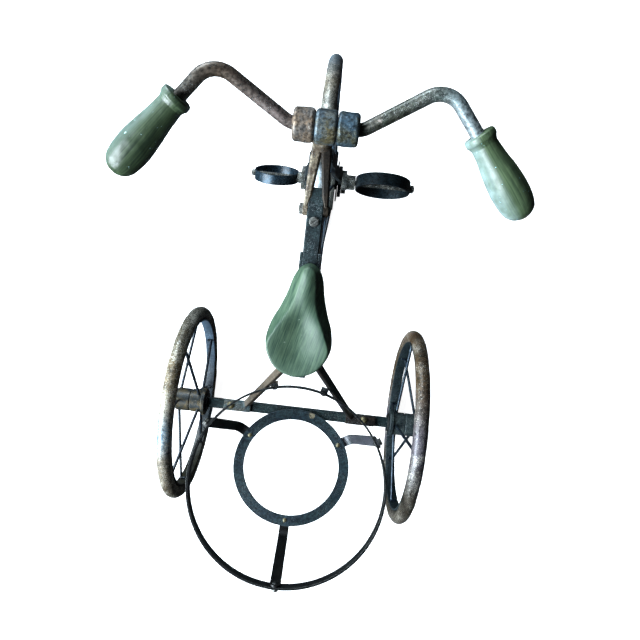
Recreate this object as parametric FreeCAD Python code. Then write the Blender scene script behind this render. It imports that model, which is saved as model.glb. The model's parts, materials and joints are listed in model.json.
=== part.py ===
import FreeCAD, Part
import math
import os

# Plant-stand velocipede tricycle. Millimetres, +Z up, +Y forward, +X to the rider's right.
# Shapes are drawn with the rear axle at y = 0 and moved on export, so that the origin
# lies on the floor under the middle of the overall length.

V = FreeCAD.Vector
X_AXIS = V(1, 0, 0)
Y_AXIS = V(0, 1, 0)
Z_AXIS = V(0, 0, 1)
SIDES = {"left": -1, "right": 1}

# Wheels
REAR_WHEEL_R = 127.0
FRONT_WHEEL_R = 152.0
TYRE_TUBE_R = 8.6
TRACK = 288.0
WHEELBASE = 312.0
RIM_WIDTH = 13.4
RIM_THICKNESS = 2.5
RIM_BEDDING = 1.2
SPOKE_R = 1.9
REAR_SPOKES = 8
FRONT_SPOKES = 10
SPOKE_HOOK = 6.0
SPOKE_ELBOW_X = 3.0
SPOKE_ROOT_DEPTH = 3.5
REAR_SPOKE_TURN = {"left": -5.0, "right": -9.0}
FRONT_SPOKE_TURN = 9.0

# Running fits and the gap between parts that turn against each other
RUNNING_CLEARANCE = 0.05
SIDE_GAP = 0.3

# Rear axle
BEAM = 12.7
AXLE_Z = REAR_WHEEL_R
SPIGOT_R = 6.0
REAR_HUB_HALF = 20.5
REAR_HUB_R = 15.0
REAR_HUB_FLANGE_R = 18.0
REAR_HUB_FLANGE_T = 5.0
REAR_HUB_GROOVE = 1.2
REAR_ROOT_INNER = 12.0
REAR_ROOT_OUTER = 15.5
WASHER_T = 2.0
WASHER_R = 12.0
AXLE_NUT_R = 9.5
AXLE_NUT_H = 6.0
CAP_T = 2.0

# Pot holder
POT_CENTRE_Y = -72.4
POT_RING_R = 76.5
POT_RING_BORE_R = 63.0
PLATE_T = 3.0
HOOP_R = 114.3
HOOP_T = 2.4
HOOP_H = 12.7
HOOP_TOP_Z = 239.0
STRAP_W = 12.7
STRAP_T = 2.5
STRAP_START_R = 64.0
STRAP_BEND_AT_R = 87.0
STRAP_CORNER_R = 14.0
STRAP_BEARINGS = {"left": 58.5, "right": -58.5, "rear": 180.0}
STRAP_OUTSIDE = {"left": True, "right": True, "rear": False}
RIVET_CIRCLE_R = 69.0
RIVET_R = 2.0
RIVET_HEAD = (2.8, 1.4)
HOOP_BOLT_R = 2.0
HOOP_BOLT_HEAD = (3.6, 1.8)
HOOP_NUT_R = 4.4
HOOP_NUT_H = 3.4

# Struts from the rear axle up to the backbone
STRUT_W = 7.9
STRUT_CORNER = 0.8
STRUT_TWIST = 26.0
STRUT_ENDS = {"left": (V(68.0, 4.5, 138.0), V(11.0, 70.0, 299.0)),
              "right": (V(70.0, 4.5, 138.0), V(13.5, 77.0, 299.0))}
FOOT_X = {"left": (63.0, 98.0), "right": (65.0, 104.0)}
FOOT_PAST_BEAM = (0.6, 1.2)
FOOT_BOLT_X = 89.0
FOOT_BOLT_R = 2.5
FOOT_BOLT_HEAD = (5.0, 3.0)
FOOT_NUT_R = 5.4
FOOT_NUT_H = 3.5
LUG_T = 4.5
LUG_R = 8.0
HOOP_TAB_W = 8.5
HOOP_TAB_H = 8.0
HOOP_TAB_REACH = 6.0
HOOP_TAB_INWARD = {"left": 6.5, "right": 4.0}

# Backbone, drawn along its own slope: s runs forward from its rear end, h is up from its middle
BACKBONE_W = 16.0
BACKBONE_H = 12.0
BACKBONE_REAR = V(0.0, 57.0, 298.0)
BACKBONE_FRONT = V(0.0, 244.0, 337.0)
CROSS_BOLT_R = 3.0
CROSS_BOLT_HEAD = (5.4, 3.0)
CROSS_NUT_R = 5.8
CROSS_NUT_H = 3.4
STRUT_BOLT_S = 11.0
NECK_BOLT_S = 170.0
BACKBONE_SCREW_S = 158.0
BACKBONE_SCREW_R = 2.4
BACKBONE_SCREW_HEAD_R = 4.9
BACKBONE_SCREW_HEAD_H = 2.8

# Seat
SEAT_START_S = 3.5
SEAT_T = 23.0
SEAT_FOOT_H = 5.0
SEAT_BASE = [(0, 0), (4, 16.8), (14, 27.4), (31, 33.5), (50, 30.8),
             (67, 23.9), (84, 18.4), (99, 14.8), (109, 9.5), (114, 0)]
SEAT_TOP = [(2, 0), (5.5, 14.6), (14.5, 25), (30, 31.3), (46, 25.6),
            (62, 18), (78, 12.3), (94, 9.8), (107, 6.8), (111.5, 0)]
SEAT_TOP_ROUND = 2.5
SEAT_DISH_R = 95.0
SEAT_TURN = -2.8
SEAT_TURN_AT = 78.0
SEAT_DISH_AT = 34.0
SEAT_DISH_DEPTH = 4.5
BRACKET_WALL = 2.5
BRACKET_START_S = 30.0
BRACKET_END_S = 127.5
SEAT_SCREWS_S = (45.0, 85.0)
SEAT_SCREW_R = 2.2
SEAT_SCREW_HEAD = (4.5, 2.6)
SEAT_SCREW_DEPTH = 13.0

# Steering head
STEER_Y = 282.0
HEAD_TUBE_R = 9.5
STEERER_R = 5.0
STEERER_IN_CROWN = 9.0
CROWN_Z = (315.0, 328.0)
CROWN_HALF_W = 7.0
CROWN_DEPTH = 14.0
STEERING_WASHER_T = 1.7
STEERING_WASHER_R = 9.0
CROWN_RIVET_R = 1.6
CROWN_RIVET_HEAD = (3.2, 1.6)
HEAD_TUBE_Z = (330.0, 374.0)
NECK_PLATE_H = 12.0
NECK_RISE = 22.0
NECK_CORNER = 1.6
NECK_EYE_MARGIN = 0.5
NECK_SECTIONS = [(0.0, 8.0, 12.5), (0.17, 5.4, 12.1), (0.84, 0.05, 9.8), (1.0, 0.05, 9.6)]

# Fork blades
BLADE_T = 4.5
BLADE_W = 14.0
BLADE_INNER_X = 19.0
BLADE_KNEE_X = 12.4
BLADE_EYE_R = 20.0
BLADE_BEND_R = 24.0

# Front hub, cranks and pedals
FRONT_AXLE_R = 5.0
FRONT_HUB_HALF = 16.8
FRONT_FLANGE_R = 38.0
FRONT_FLANGE_AT = 13.0
FRONT_FLANGE_T = 5.2
FRONT_HUB_R = 11.0
FRONT_HUB_WAIST = 2.0
FRONT_WASHER_R = 26.0
CRANK_LENGTH = 81.5
CRANK_BOSS_R = 15.0
CRANK_BEARING = 17.5
CRANK_T = 6.0
CRANK_ROOT_W = 14.0
CRANK_TIP_W = 10.0
CRANK_EYE_R = 9.0
CRANK_NUT_R = 8.5
CRANK_NUT_H = 4.0
PEDAL_SHOULDER_R = 8.4
PEDAL_NUT_R = 5.4
PEDAL_NUT_H = 3.5
PEDAL_X = 72.0
PEDAL_R = 32.5
PEDAL_BAND_W = 13.6
PEDAL_BAND_T = 2.4
PEDAL_PIN_R = 3.0
PEDAL_LEAN = {"left": 32.0, "right": 2.0}

# Handlebar
BAR_Z = 394.0
BAR_R = 6.0
BAR_OFFSET_X = 3.0
SLEEVE_R = 15.2
STEM_R = 9.0
SLEEVE_HALF = 9.7
COLLAR_LENGTH = 19.5
COLLAR_GAP = 0.2
SLEEVE_ROUND = 3.2
COLLAR_ROUND = 3.6
COLLAR_SCREW_R = 2.5
BAR_STRAIGHT_X = 31.5
BAR_BEND_R = 22.0
BAR_CORNER = V(98.0, 313.0, 429.0)
GRIP_START = V(125.0, 284.0, 419.0)
GRIP_DIRECTION = V(55.5, -61.5, -25.0)
GRIP_REACH = 88.0
GRIP_LENGTH = {"left": 88.0, "right": 83.0}
GRIP_BORE_DEPTH = 55.0

FRONT_AXLE = V(0, WHEELBASE, FRONT_WHEEL_R)
REACH_BACK = -POT_CENTRE_Y + HOOP_R + HOOP_NUT_H
ORIGIN_SHIFT = V(0, (REACH_BACK - WHEELBASE - FRONT_WHEEL_R) / 2, 0)
BACKBONE_SLOPE = math.degrees(math.atan2(BACKBONE_FRONT.z - BACKBONE_REAR.z,
                                         BACKBONE_FRONT.y - BACKBONE_REAR.y))


# General shapes

def box(x, y, z):
    """A block given by its low and high limits on each axis."""
    return Part.makeBox(x[1] - x[0], y[1] - y[0], z[1] - z[0], V(x[0], y[0], z[0]))


def rod(start, end, radius):
    """A round bar between two points."""
    return Part.makeCylinder(radius, (end - start).Length, start, end - start)


def hexagon(start, end, corner_radius):
    """A six-sided bar between two points."""
    length = (end - start).Length
    corners = [V(corner_radius * math.cos(math.radians(60 * i)),
                 corner_radius * math.sin(math.radians(60 * i)), 0) for i in range(7)]
    bar = Part.Face(Part.makePolygon(corners)).extrude(V(0, 0, length))
    bar.Placement = FreeCAD.Placement(start, FreeCAD.Rotation(Z_AXIS, end - start))
    return bar


def turned(outline, start, direction):
    """A solid turned from (radius, distance along the axis) points, starting at start."""
    points = [V(r, 0, s) for r, s in outline]
    face = Part.Face(Part.makePolygon(points + points[:1]))
    solid = face.revolve(V(), Z_AXIS, 360)
    solid.Placement = FreeCAD.Placement(start, FreeCAD.Rotation(Z_AXIS, direction))
    return solid


def domed_head(start, direction, radius, height):
    """A round rivet or screw head, its flat side at start."""
    ball_r = (radius ** 2 + height ** 2) / (2 * height)
    ball = Part.makeSphere(ball_r, V(0, 0, height - ball_r))
    head = ball.common(Part.makeCylinder(ball_r, height))
    head.Placement = FreeCAD.Placement(start, FreeCAD.Rotation(Z_AXIS, direction))
    return head


def rounded_path(points, bend_radius):
    """Straight runs joined by tangent arcs at every inner point."""
    edges = []
    start = points[0]
    for before, corner, after in zip(points, points[1:], points[2:]):
        back = (before - corner).normalize()
        ahead = (after - corner).normalize()
        half_angle = back.getAngle(ahead) / 2
        run = bend_radius / math.tan(half_angle)
        inward = (back + ahead).normalize()
        middle = corner + inward * (bend_radius / math.sin(half_angle) - bend_radius)
        edges.append(Part.LineSegment(start, corner + back * run).toShape())
        edges.append(Part.Arc(corner + back * run, middle, corner + ahead * run).toShape())
        start = corner + ahead * run
    edges.append(Part.LineSegment(start, points[-1]).toShape())
    return Part.Wire(edges)


def bent_round_bar(points, bend_radius, radius):
    """A round bar that follows a rounded path."""
    section = Part.Wire([Part.makeCircle(radius, points[0], points[1] - points[0])])
    return rounded_path(points, bend_radius).makePipeShell([section], True, False)


def bent_flat_bar(outline, bend_radius, width, thickness):
    """A flat bar bent in the XZ plane along (x, z) points; its width lies along Y."""
    points = [V(x, 0, z) for x, z in outline]
    along = (points[1] - points[0]).normalize()
    across = along.cross(Y_AXIS) * (thickness / 2)
    side = Y_AXIS * (width / 2)
    corners = [points[0] + across + side, points[0] - across + side,
               points[0] - across - side, points[0] + across - side]
    section = Part.makePolygon(corners + corners[:1])
    return rounded_path(points, bend_radius).makePipeShell([section], True, False)


def round_edges(shape):
    """The circular edges of a plain cylinder."""
    return [e for e in shape.Edges if e.Curve.TypeId == "Part::GeomCircle"]


def mirrored(shape, side):
    """The shape itself on the right, its mirror image on the left."""
    return shape if side == "right" else shape.mirror(V(), X_AXIS)


def shifted(shape, x):
    """The shape moved along X."""
    placed = shape.copy()
    placed.translate(V(x, 0, 0))
    return placed


def on_backbone(shape):
    """Moves a shape from the backbone's own (x, s, h) frame to its place."""
    placed = shape.copy()
    placed.rotate(V(), X_AXIS, BACKBONE_SLOPE)
    placed.translate(BACKBONE_REAR)
    return placed


def backbone_point(x, s, h):
    """A point of the backbone's own frame, in the tricycle's frame."""
    return BACKBONE_REAR + FreeCAD.Rotation(X_AXIS, BACKBONE_SLOPE).multVec(V(x, s, h))


def about_pot(shape, bearing):
    """Turns a shape drawn along +X to a bearing (degrees left of forward) about the pot's axis."""
    placed = shape.copy()
    placed.rotate(V(), Z_AXIS, 90 + bearing)
    placed.translate(V(0, POT_CENTRE_Y, 0))
    return placed


def joined(shapes):
    """One solid from shapes that overlap or touch."""
    return shapes[0].multiFuse(shapes[1:]).removeSplitter()


def without(shape, *tools):
    """The shape with the tools cut out of it."""
    return shape.cut(Part.makeCompound(list(tools)))


# Wheels, drawn about the X axis with the hub at the origin

def tyre(wheel_radius):
    ring_radius = wheel_radius - TYRE_TUBE_R
    torus = Part.makeTorus(ring_radius, TYRE_TUBE_R, V(), X_AXIS)
    return torus.cut(rim(wheel_radius)).cut(
        Part.makeCylinder(rim_radius(wheel_radius), RIM_WIDTH, V(-RIM_WIDTH / 2, 0, 0), X_AXIS))


def rim_radius(wheel_radius):
    """Outer radius of the flat rim band, on which the tyre beds."""
    return wheel_radius - 2 * TYRE_TUBE_R + RIM_BEDDING


def rim(wheel_radius):
    outer = rim_radius(wheel_radius)
    start = V(-RIM_WIDTH / 2, 0, 0)
    band = Part.makeCylinder(outer, RIM_WIDTH, start, X_AXIS)
    return band.cut(Part.makeCylinder(outer - RIM_THICKNESS, RIM_WIDTH, start, X_AXIS))


def spoke(wheel_radius, hub_radius, root_x, bearing):
    """A spoke from the hub to the rim, hooked over along the rim's inner face."""
    hook_radius = rim_radius(wheel_radius) - RIM_THICKNESS - SPOKE_R + 0.3
    side = math.copysign(1, root_x)
    root = V(root_x, 0, hub_radius - SPOKE_ROOT_DEPTH)
    elbow = V(side * SPOKE_ELBOW_X, 0, hook_radius)
    tip = elbow - V(side * SPOKE_HOOK, 0, 0)
    shape = joined([rod(root, elbow, SPOKE_R), Part.makeSphere(SPOKE_R, elbow), rod(elbow, tip, SPOKE_R)])
    shape.rotate(V(), X_AXIS, -bearing)
    return shape


def spokes(wheel_radius, hub_radius, roots_x, count, turn):
    """All spokes of a wheel, rooted by turns at two places along the hub."""
    band = rim(wheel_radius)
    made = []
    for i in range(count):
        one = spoke(wheel_radius, hub_radius, roots_x[i % 2], turn + 360 / count * i)
        made.append(one.cut(band))
    return Part.makeCompound(made)


def rear_hub():
    """The right hub: a barrel with a flange at its inner end and a groove round its middle."""
    half = REAR_HUB_HALF
    end = 2 * half
    bore = SPIGOT_R + RUNNING_CLEARANCE
    flange = REAR_HUB_FLANGE_R
    barrel = REAR_HUB_R
    groove = REAR_HUB_GROOVE
    outline = [(bore, 0), (flange - 0.8, 0), (flange, 0.8), (flange, REAR_HUB_FLANGE_T - 0.8),
               (flange - 0.8, REAR_HUB_FLANGE_T), (barrel, REAR_HUB_FLANGE_T), (barrel, half - groove),
               (barrel - groove, half - 0.4), (barrel - groove, half + 0.4), (barrel, half + groove),
               (barrel, end - 3.0), (barrel - 2.0, end), (bore, end)]
    return turned(outline, V(-half, 0, 0), X_AXIS)


def front_hub():
    """A waisted core with a large spoke flange near each end."""
    half = FRONT_HUB_HALF
    flange = FRONT_FLANGE_R
    inner = FRONT_FLANGE_AT - FRONT_FLANGE_T / 2
    outer = FRONT_FLANGE_AT + FRONT_FLANGE_T / 2
    core = FRONT_HUB_R
    side = [(FRONT_AXLE_R, half), (core - 0.5, half), (core, half - 0.5), (core, outer),
            (flange - 0.8, outer), (flange, outer - 0.8), (flange, inner + 0.8), (flange - 0.8, inner),
            (core, inner), (core - FRONT_HUB_WAIST, inner - 3.4)]
    other_side = [(r, -s) for r, s in reversed(side)]
    return turned(side + other_side, V(), X_AXIS)


def rear_wheel(side):
    """The four parts of a rear wheel, in place."""
    sign = SIDES[side]
    centre = V(sign * TRACK / 2, 0, AXLE_Z)
    roots_x = sorted([-sign * REAR_ROOT_INNER, sign * REAR_ROOT_OUTER])
    wires = spokes(REAR_WHEEL_R, REAR_HUB_R, roots_x, REAR_SPOKES, REAR_SPOKE_TURN[side])
    parts = {
        "rear_tyre_" + side: tyre(REAR_WHEEL_R),
        "rear_rim_" + side: rim(REAR_WHEEL_R),
        "rear_spokes_" + side: wires,
        "rear_hub_" + side: without(mirrored(rear_hub(), side), *wires.Solids),
    }
    for shape in parts.values():
        shape.translate(centre)
    return parts


def front_wheel():
    """The parts that turn with the front wheel, apart from cranks and pedals."""
    roots_x = (-FRONT_FLANGE_AT, FRONT_FLANGE_AT)
    wires = spokes(FRONT_WHEEL_R, FRONT_FLANGE_R, roots_x, FRONT_SPOKES, FRONT_SPOKE_TURN)
    washer_end = BLADE_INNER_X - SIDE_GAP
    washers = []
    for sign in SIDES.values():
        start = V(sign * FRONT_HUB_HALF, 0, 0)
        end = V(sign * washer_end, 0, 0)
        washers.append(rod(start, end, FRONT_WASHER_R).cut(rod(start, end, FRONT_AXLE_R)))
    axle_end = crank_faces()[1] + CRANK_NUT_H + 1.5
    parts = {
        "front_tyre": tyre(FRONT_WHEEL_R),
        "front_rim": rim(FRONT_WHEEL_R),
        "front_spokes": wires,
        "front_hub": without(front_hub(), *wires.Solids),
        "front_axle": rod(V(-axle_end, 0, 0), V(axle_end, 0, 0), FRONT_AXLE_R),
        "front_hub_washers": Part.makeCompound(washers),
    }
    for shape in parts.values():
        shape.translate(FRONT_AXLE)
    return parts


# Cranks and pedals, drawn for the right side about the front axle

def crank_faces():
    inner = BLADE_INNER_X + BLADE_T + SIDE_GAP
    return inner, inner + CRANK_T


def crank():
    """A flat tapered arm with a boss at the axle and an eye at the pedal."""
    inner, outer = crank_faces()
    boss = rod(V(inner, 0, 0), V(outer, 0, 0), CRANK_BOSS_R)
    eye = rod(V(inner, 0, CRANK_LENGTH), V(outer, 0, CRANK_LENGTH), CRANK_EYE_R)
    root = CRANK_ROOT_W / 2
    tip = CRANK_TIP_W / 2
    corners = [V(inner, -root, 0), V(inner, root, 0),
               V(inner, tip, CRANK_LENGTH), V(inner, -tip, CRANK_LENGTH)]
    arm = Part.Face(Part.makePolygon(corners + corners[:1])).extrude(V(CRANK_T, 0, 0))
    solid = joined([boss, eye, arm])
    return without(solid, rod(V(inner, 0, 0), V(outer, 0, 0), FRONT_AXLE_R),
                   rod(V(inner, 0, CRANK_LENGTH), V(outer, 0, CRANK_LENGTH), PEDAL_PIN_R))


def crank_nut():
    start = V(crank_faces()[1], 0, 0)
    end = start + X_AXIS * CRANK_NUT_H
    return hexagon(start, end, CRANK_NUT_R).cut(rod(start, end, FRONT_AXLE_R))


def pedal_spindle():
    """The fixed pin that a pedal ring turns on, with a shoulder against the crank."""
    inner, outer = crank_faces()
    ring_face = PEDAL_X - PEDAL_R
    pin = rod(V(inner, 0, CRANK_LENGTH), V(PEDAL_X + PEDAL_R + 5.0, 0, CRANK_LENGTH), PEDAL_PIN_R)
    shoulder = rod(V(outer, 0, CRANK_LENGTH), V(ring_face - SIDE_GAP, 0, CRANK_LENGTH), PEDAL_SHOULDER_R)
    return joined([pin, shoulder])


def pedal_nut():
    start = V(PEDAL_X + PEDAL_R + SIDE_GAP, 0, CRANK_LENGTH)
    end = start + X_AXIS * PEDAL_NUT_H
    return hexagon(start, end, PEDAL_NUT_R).cut(rod(start, end, PEDAL_PIN_R))


def pedal_ring(lean):
    """A band bent into a circle that turns on the pin through its diameter."""
    start = V(PEDAL_X, -PEDAL_BAND_W / 2, CRANK_LENGTH)
    band = Part.makeCylinder(PEDAL_R, PEDAL_BAND_W, start, Y_AXIS)
    inside = Part.makeCylinder(PEDAL_R - PEDAL_BAND_T, PEDAL_BAND_W, start, Y_AXIS)
    hole = rod(V(0, 0, CRANK_LENGTH), V(2 * PEDAL_X, 0, CRANK_LENGTH), PEDAL_PIN_R + RUNNING_CLEARANCE)
    flats = box((PEDAL_X - PEDAL_R + 0.4, PEDAL_X + PEDAL_R - 0.4), (-PEDAL_BAND_W, PEDAL_BAND_W),
                (CRANK_LENGTH - PEDAL_R, CRANK_LENGTH + PEDAL_R))
    ring = band.cut(inside).common(flats).cut(hole)
    ring.rotate(V(0, 0, CRANK_LENGTH), X_AXIS, lean)
    return ring


def drive_parts():
    """Cranks, spindles, rings and nuts: the right crank stands up, the left one hangs down."""
    parts = {}
    groups = {"pedal_spindles": [], "crank_nuts": [], "pedal_nuts": []}
    for side in SIDES:
        bearing = CRANK_BEARING if side == "right" else CRANK_BEARING + 180
        shapes = {"crank_" + side: crank(), "pedal_spindles": pedal_spindle(), "crank_nuts": crank_nut(),
                  "pedal_nuts": pedal_nut(), "pedal_ring_" + side: pedal_ring(PEDAL_LEAN[side] - bearing)}
        for node, shape in shapes.items():
            placed = mirrored(shape, side)
            placed.rotate(V(), X_AXIS, bearing)
            placed.translate(FRONT_AXLE)
            if node in groups:
                groups[node].append(placed)
            else:
                parts[node] = placed
    for node, shapes in groups.items():
        parts[node] = Part.makeCompound(shapes)
    return parts


# Fork and handlebar, which turn together in the head tube

def fork_blade():
    """The right blade: down from the crown, flared out round the tyre, raked forward to the axle."""
    crown_middle = sum(CROWN_Z) / 2
    rake = math.atan2(WHEELBASE - STEER_Y, crown_middle - FRONT_WHEEL_R)
    eye_z = crown_middle - math.hypot(WHEELBASE - STEER_Y, crown_middle - FRONT_WHEEL_R)
    top_x = CROWN_HALF_W + BLADE_T / 2
    low_x = BLADE_INNER_X + BLADE_T / 2
    outline = [(top_x, CROWN_Z[1] + 5), (top_x, CROWN_Z[0] - 1), (BLADE_KNEE_X, CROWN_Z[0] - 19),
               (BLADE_KNEE_X + 0.8, eye_z + 92), (low_x, eye_z + 50), (low_x, eye_z)]
    blade = bent_flat_bar(outline, BLADE_BEND_R, BLADE_W, BLADE_T)
    eye = rod(V(BLADE_INNER_X, 0, eye_z), V(BLADE_INNER_X + BLADE_T, 0, eye_z), BLADE_EYE_R)
    shape = joined([blade, eye])
    shape.translate(V(0, STEER_Y, 0))
    shape.rotate(V(0, STEER_Y, crown_middle), X_AXIS, math.degrees(rake))
    bore = rod(FRONT_AXLE, FRONT_AXLE + X_AXIS * 50, FRONT_AXLE_R + RUNNING_CLEARANCE)
    above_crown = box((0, 50), (STEER_Y - 50, STEER_Y + 50), (CROWN_Z[1], CROWN_Z[1] + 50))
    return without(shape, bore, above_crown)


def crown_rivet():
    """One rivet through crown and both blades."""
    middle = V(0, STEER_Y, (CROWN_Z[0] + CROWN_Z[1] - STEERER_IN_CROWN) / 2)
    end = CROWN_HALF_W + BLADE_T
    heads = [domed_head(middle + X_AXIS * (sign * end), X_AXIS * sign, *CROWN_RIVET_HEAD)
             for sign in SIDES.values()]
    return joined([rod(middle - X_AXIS * end, middle + X_AXIS * end, CROWN_RIVET_R)] + heads)


def fork_parts():
    steerer_top = BAR_Z - BAR_R
    sleeve_start = V(BAR_OFFSET_X - SLEEVE_HALF, STEER_Y, BAR_Z)
    sleeve = Part.makeCylinder(SLEEVE_R, 2 * SLEEVE_HALF, sleeve_start, X_AXIS)
    sleeve = sleeve.makeFillet(SLEEVE_ROUND, round_edges(sleeve))
    sleeve_span = (BAR_OFFSET_X - SLEEVE_HALF, BAR_OFFSET_X + SLEEVE_HALF)
    socket_low = HEAD_TUBE_Z[1] + SIDE_GAP
    socket = Part.makeCylinder(STEM_R, BAR_Z - socket_low, V(0, STEER_Y, socket_low))
    socket = socket.common(box(sleeve_span, (STEER_Y - STEM_R, STEER_Y + STEM_R), (socket_low, BAR_Z)))
    bar = handlebar()
    rivet = crown_rivet()
    steerer_low = CROWN_Z[1] - STEERER_IN_CROWN
    steerer = Part.makeCylinder(STEERER_R, steerer_top - steerer_low, V(0, STEER_Y, steerer_low))
    crown_y = (STEER_Y - CROWN_DEPTH / 2, STEER_Y + CROWN_DEPTH / 2)
    crown = box((-CROWN_HALF_W, CROWN_HALF_W), crown_y, CROWN_Z)
    washer = Part.makeCylinder(STEERING_WASHER_R, STEERING_WASHER_T, V(0, STEER_Y, CROWN_Z[1]))
    parts = {
        "steerer": steerer.cut(bar),
        "fork_crown": without(crown, steerer, rivet),
        "steering_washer": washer.cut(steerer),
        "crown_rivet": rivet,
        "stem_sleeve": without(joined([sleeve, socket]), steerer, bar),
        "handlebar": bar,
    }
    screws = []
    for side, sign in SIDES.items():
        parts["fork_blade_" + side] = without(mirrored(fork_blade(), side), rivet, crown)
        start = V(BAR_OFFSET_X + sign * (SLEEVE_HALF + COLLAR_GAP), STEER_Y, BAR_Z)
        collar = Part.makeCylinder(SLEEVE_R, COLLAR_LENGTH, start, X_AXIS * sign)
        collar = collar.makeFillet(COLLAR_ROUND, round_edges(collar))
        screw = collar_screw(sign)
        screws.append(screw)
        parts["collar_" + side] = without(collar, bar, screw)
        parts["grip_" + side] = shifted(mirrored(grip(side), side), BAR_OFFSET_X).cut(bar)
    parts["collar_screws"] = Part.makeCompound(screws)
    return parts


def collar_screw(sign):
    """A grub screw that pins a collar to the bar from below."""
    x = BAR_OFFSET_X + sign * (SLEEVE_HALF + COLLAR_LENGTH / 2)
    return rod(V(x, STEER_Y, BAR_Z - BAR_R), V(x, STEER_Y, BAR_Z - SLEEVE_R - 1.5), COLLAR_SCREW_R)


def handlebar():
    """One round bar: straight through the sleeve, up and forward, then back into the grips."""
    inside_grip = GRIP_START + V(GRIP_DIRECTION).normalize() * GRIP_BORE_DEPTH
    points = [V(0, STEER_Y, BAR_Z), V(BAR_STRAIGHT_X, STEER_Y, BAR_Z), BAR_CORNER, inside_grip]
    right = bent_round_bar(points, BAR_BEND_R, BAR_R)
    return shifted(joined([right, mirrored(right, "left")]), BAR_OFFSET_X)


def grip(side):
    """A grip, drawn on the right: turned wood with a collar, a thin neck and a full belly."""
    length = GRIP_LENGTH[side]
    short = GRIP_REACH - length
    belly = Part.BSplineCurve()
    belly.interpolate([V(11.7, 0, 12), V(12.8, 0, 26 - short / 2), V(14.9, 0, 42 - short),
                       V(16.3, 0, 58 - short), V(15.4, 0, 73 - short), V(10.5, 0, 84 - short), V(0, 0, length)],
                      InitialTangent=V(0, 0, 1), FinalTangent=V(-1, 0, 0))
    edges = [
        Part.LineSegment(V(0, 0, 0), V(12.2, 0, 0)).toShape(),
        Part.Arc(V(12.2, 0, 0), V(13.3, 0, 0.9), V(13.7, 0, 2.6)).toShape(),
        Part.LineSegment(V(13.7, 0, 2.6), V(13.7, 0, 5.4)).toShape(),
        Part.Arc(V(13.7, 0, 5.4), V(12.2, 0, 8.4), V(11.7, 0, 12.0)).toShape(),
        belly.toShape(),
        Part.LineSegment(V(0, 0, length), V(0, 0, 0)).toShape(),
    ]
    solid = Part.Face(Part.Wire(edges)).revolve(V(), Z_AXIS, 360)
    start = GRIP_START + V(GRIP_DIRECTION).normalize() * short
    solid.Placement = FreeCAD.Placement(start, FreeCAD.Rotation(Z_AXIS, GRIP_DIRECTION))
    return solid


# Frame

def axle_beam():
    """The square cross bar, with a round spigot for each wheel."""
    shoulder = TRACK / 2 - REAR_HUB_HALF - SIDE_GAP - WASHER_T
    end = TRACK / 2 + REAR_HUB_HALF + SIDE_GAP + WASHER_T + AXLE_NUT_H - CAP_T
    half = BEAM / 2
    bar = box((-shoulder, shoulder), (-half, half), (AXLE_Z - half, AXLE_Z + half))
    bar = bar.makeChamfer(0.8, [e for e in bar.Edges if abs(e.tangentAt(0).x) > 0.9])
    return joined([bar, rod(V(-end, 0, AXLE_Z), V(end, 0, AXLE_Z), SPIGOT_R)])


def rear_axle_fasteners():
    """Inner and outer washers, and a closed nut on each end of the axle."""
    washers = []
    nuts = []
    spigot = rod(V(-TRACK, 0, AXLE_Z), V(TRACK, 0, AXLE_Z), SPIGOT_R)
    hub_inner = TRACK / 2 - REAR_HUB_HALF - SIDE_GAP
    hub_outer = TRACK / 2 + REAR_HUB_HALF + SIDE_GAP
    nut_start = hub_outer + WASHER_T
    nut_end = nut_start + AXLE_NUT_H
    for sign in SIDES.values():
        for low in (hub_inner - WASHER_T, hub_outer):
            disc = rod(V(sign * low, 0, AXLE_Z), V(sign * (low + WASHER_T), 0, AXLE_Z), WASHER_R)
            washers.append(disc.cut(spigot))
        base = hexagon(V(sign * nut_start, 0, AXLE_Z), V(sign * nut_end, 0, AXLE_Z), AXLE_NUT_R)
        socket = rod(V(sign * nut_start, 0, AXLE_Z), V(sign * (nut_end - CAP_T), 0, AXLE_Z), SPIGOT_R)
        nuts.append(base.cut(socket))
    return {"rear_axle_washers": Part.makeCompound(washers), "rear_axle_nuts": Part.makeCompound(nuts)}


def backbone():
    half = BACKBONE_W / 2
    length = (BACKBONE_FRONT - BACKBONE_REAR).Length
    bar = box((-half, half), (0, length), (-BACKBONE_H / 2, BACKBONE_H / 2))
    return on_backbone(bar.makeChamfer(1.0, [e for e in bar.Edges if abs(e.tangentAt(0).y) > 0.9]))


def cross_bolt(s):
    """A bolt across the backbone and the plate on each side of it."""
    plates = BACKBONE_W / 2 + LUG_T
    shank = rod(backbone_point(-plates - CROSS_NUT_H - 1.0, s, 0), backbone_point(plates, s, 0), CROSS_BOLT_R)
    return joined([shank, domed_head(backbone_point(plates, s, 0), X_AXIS, *CROSS_BOLT_HEAD)])


def cross_bolt_nut(s):
    plates = BACKBONE_W / 2 + LUG_T
    return hexagon(backbone_point(-plates, s, 0), backbone_point(-plates - CROSS_NUT_H, s, 0), CROSS_NUT_R)


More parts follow.
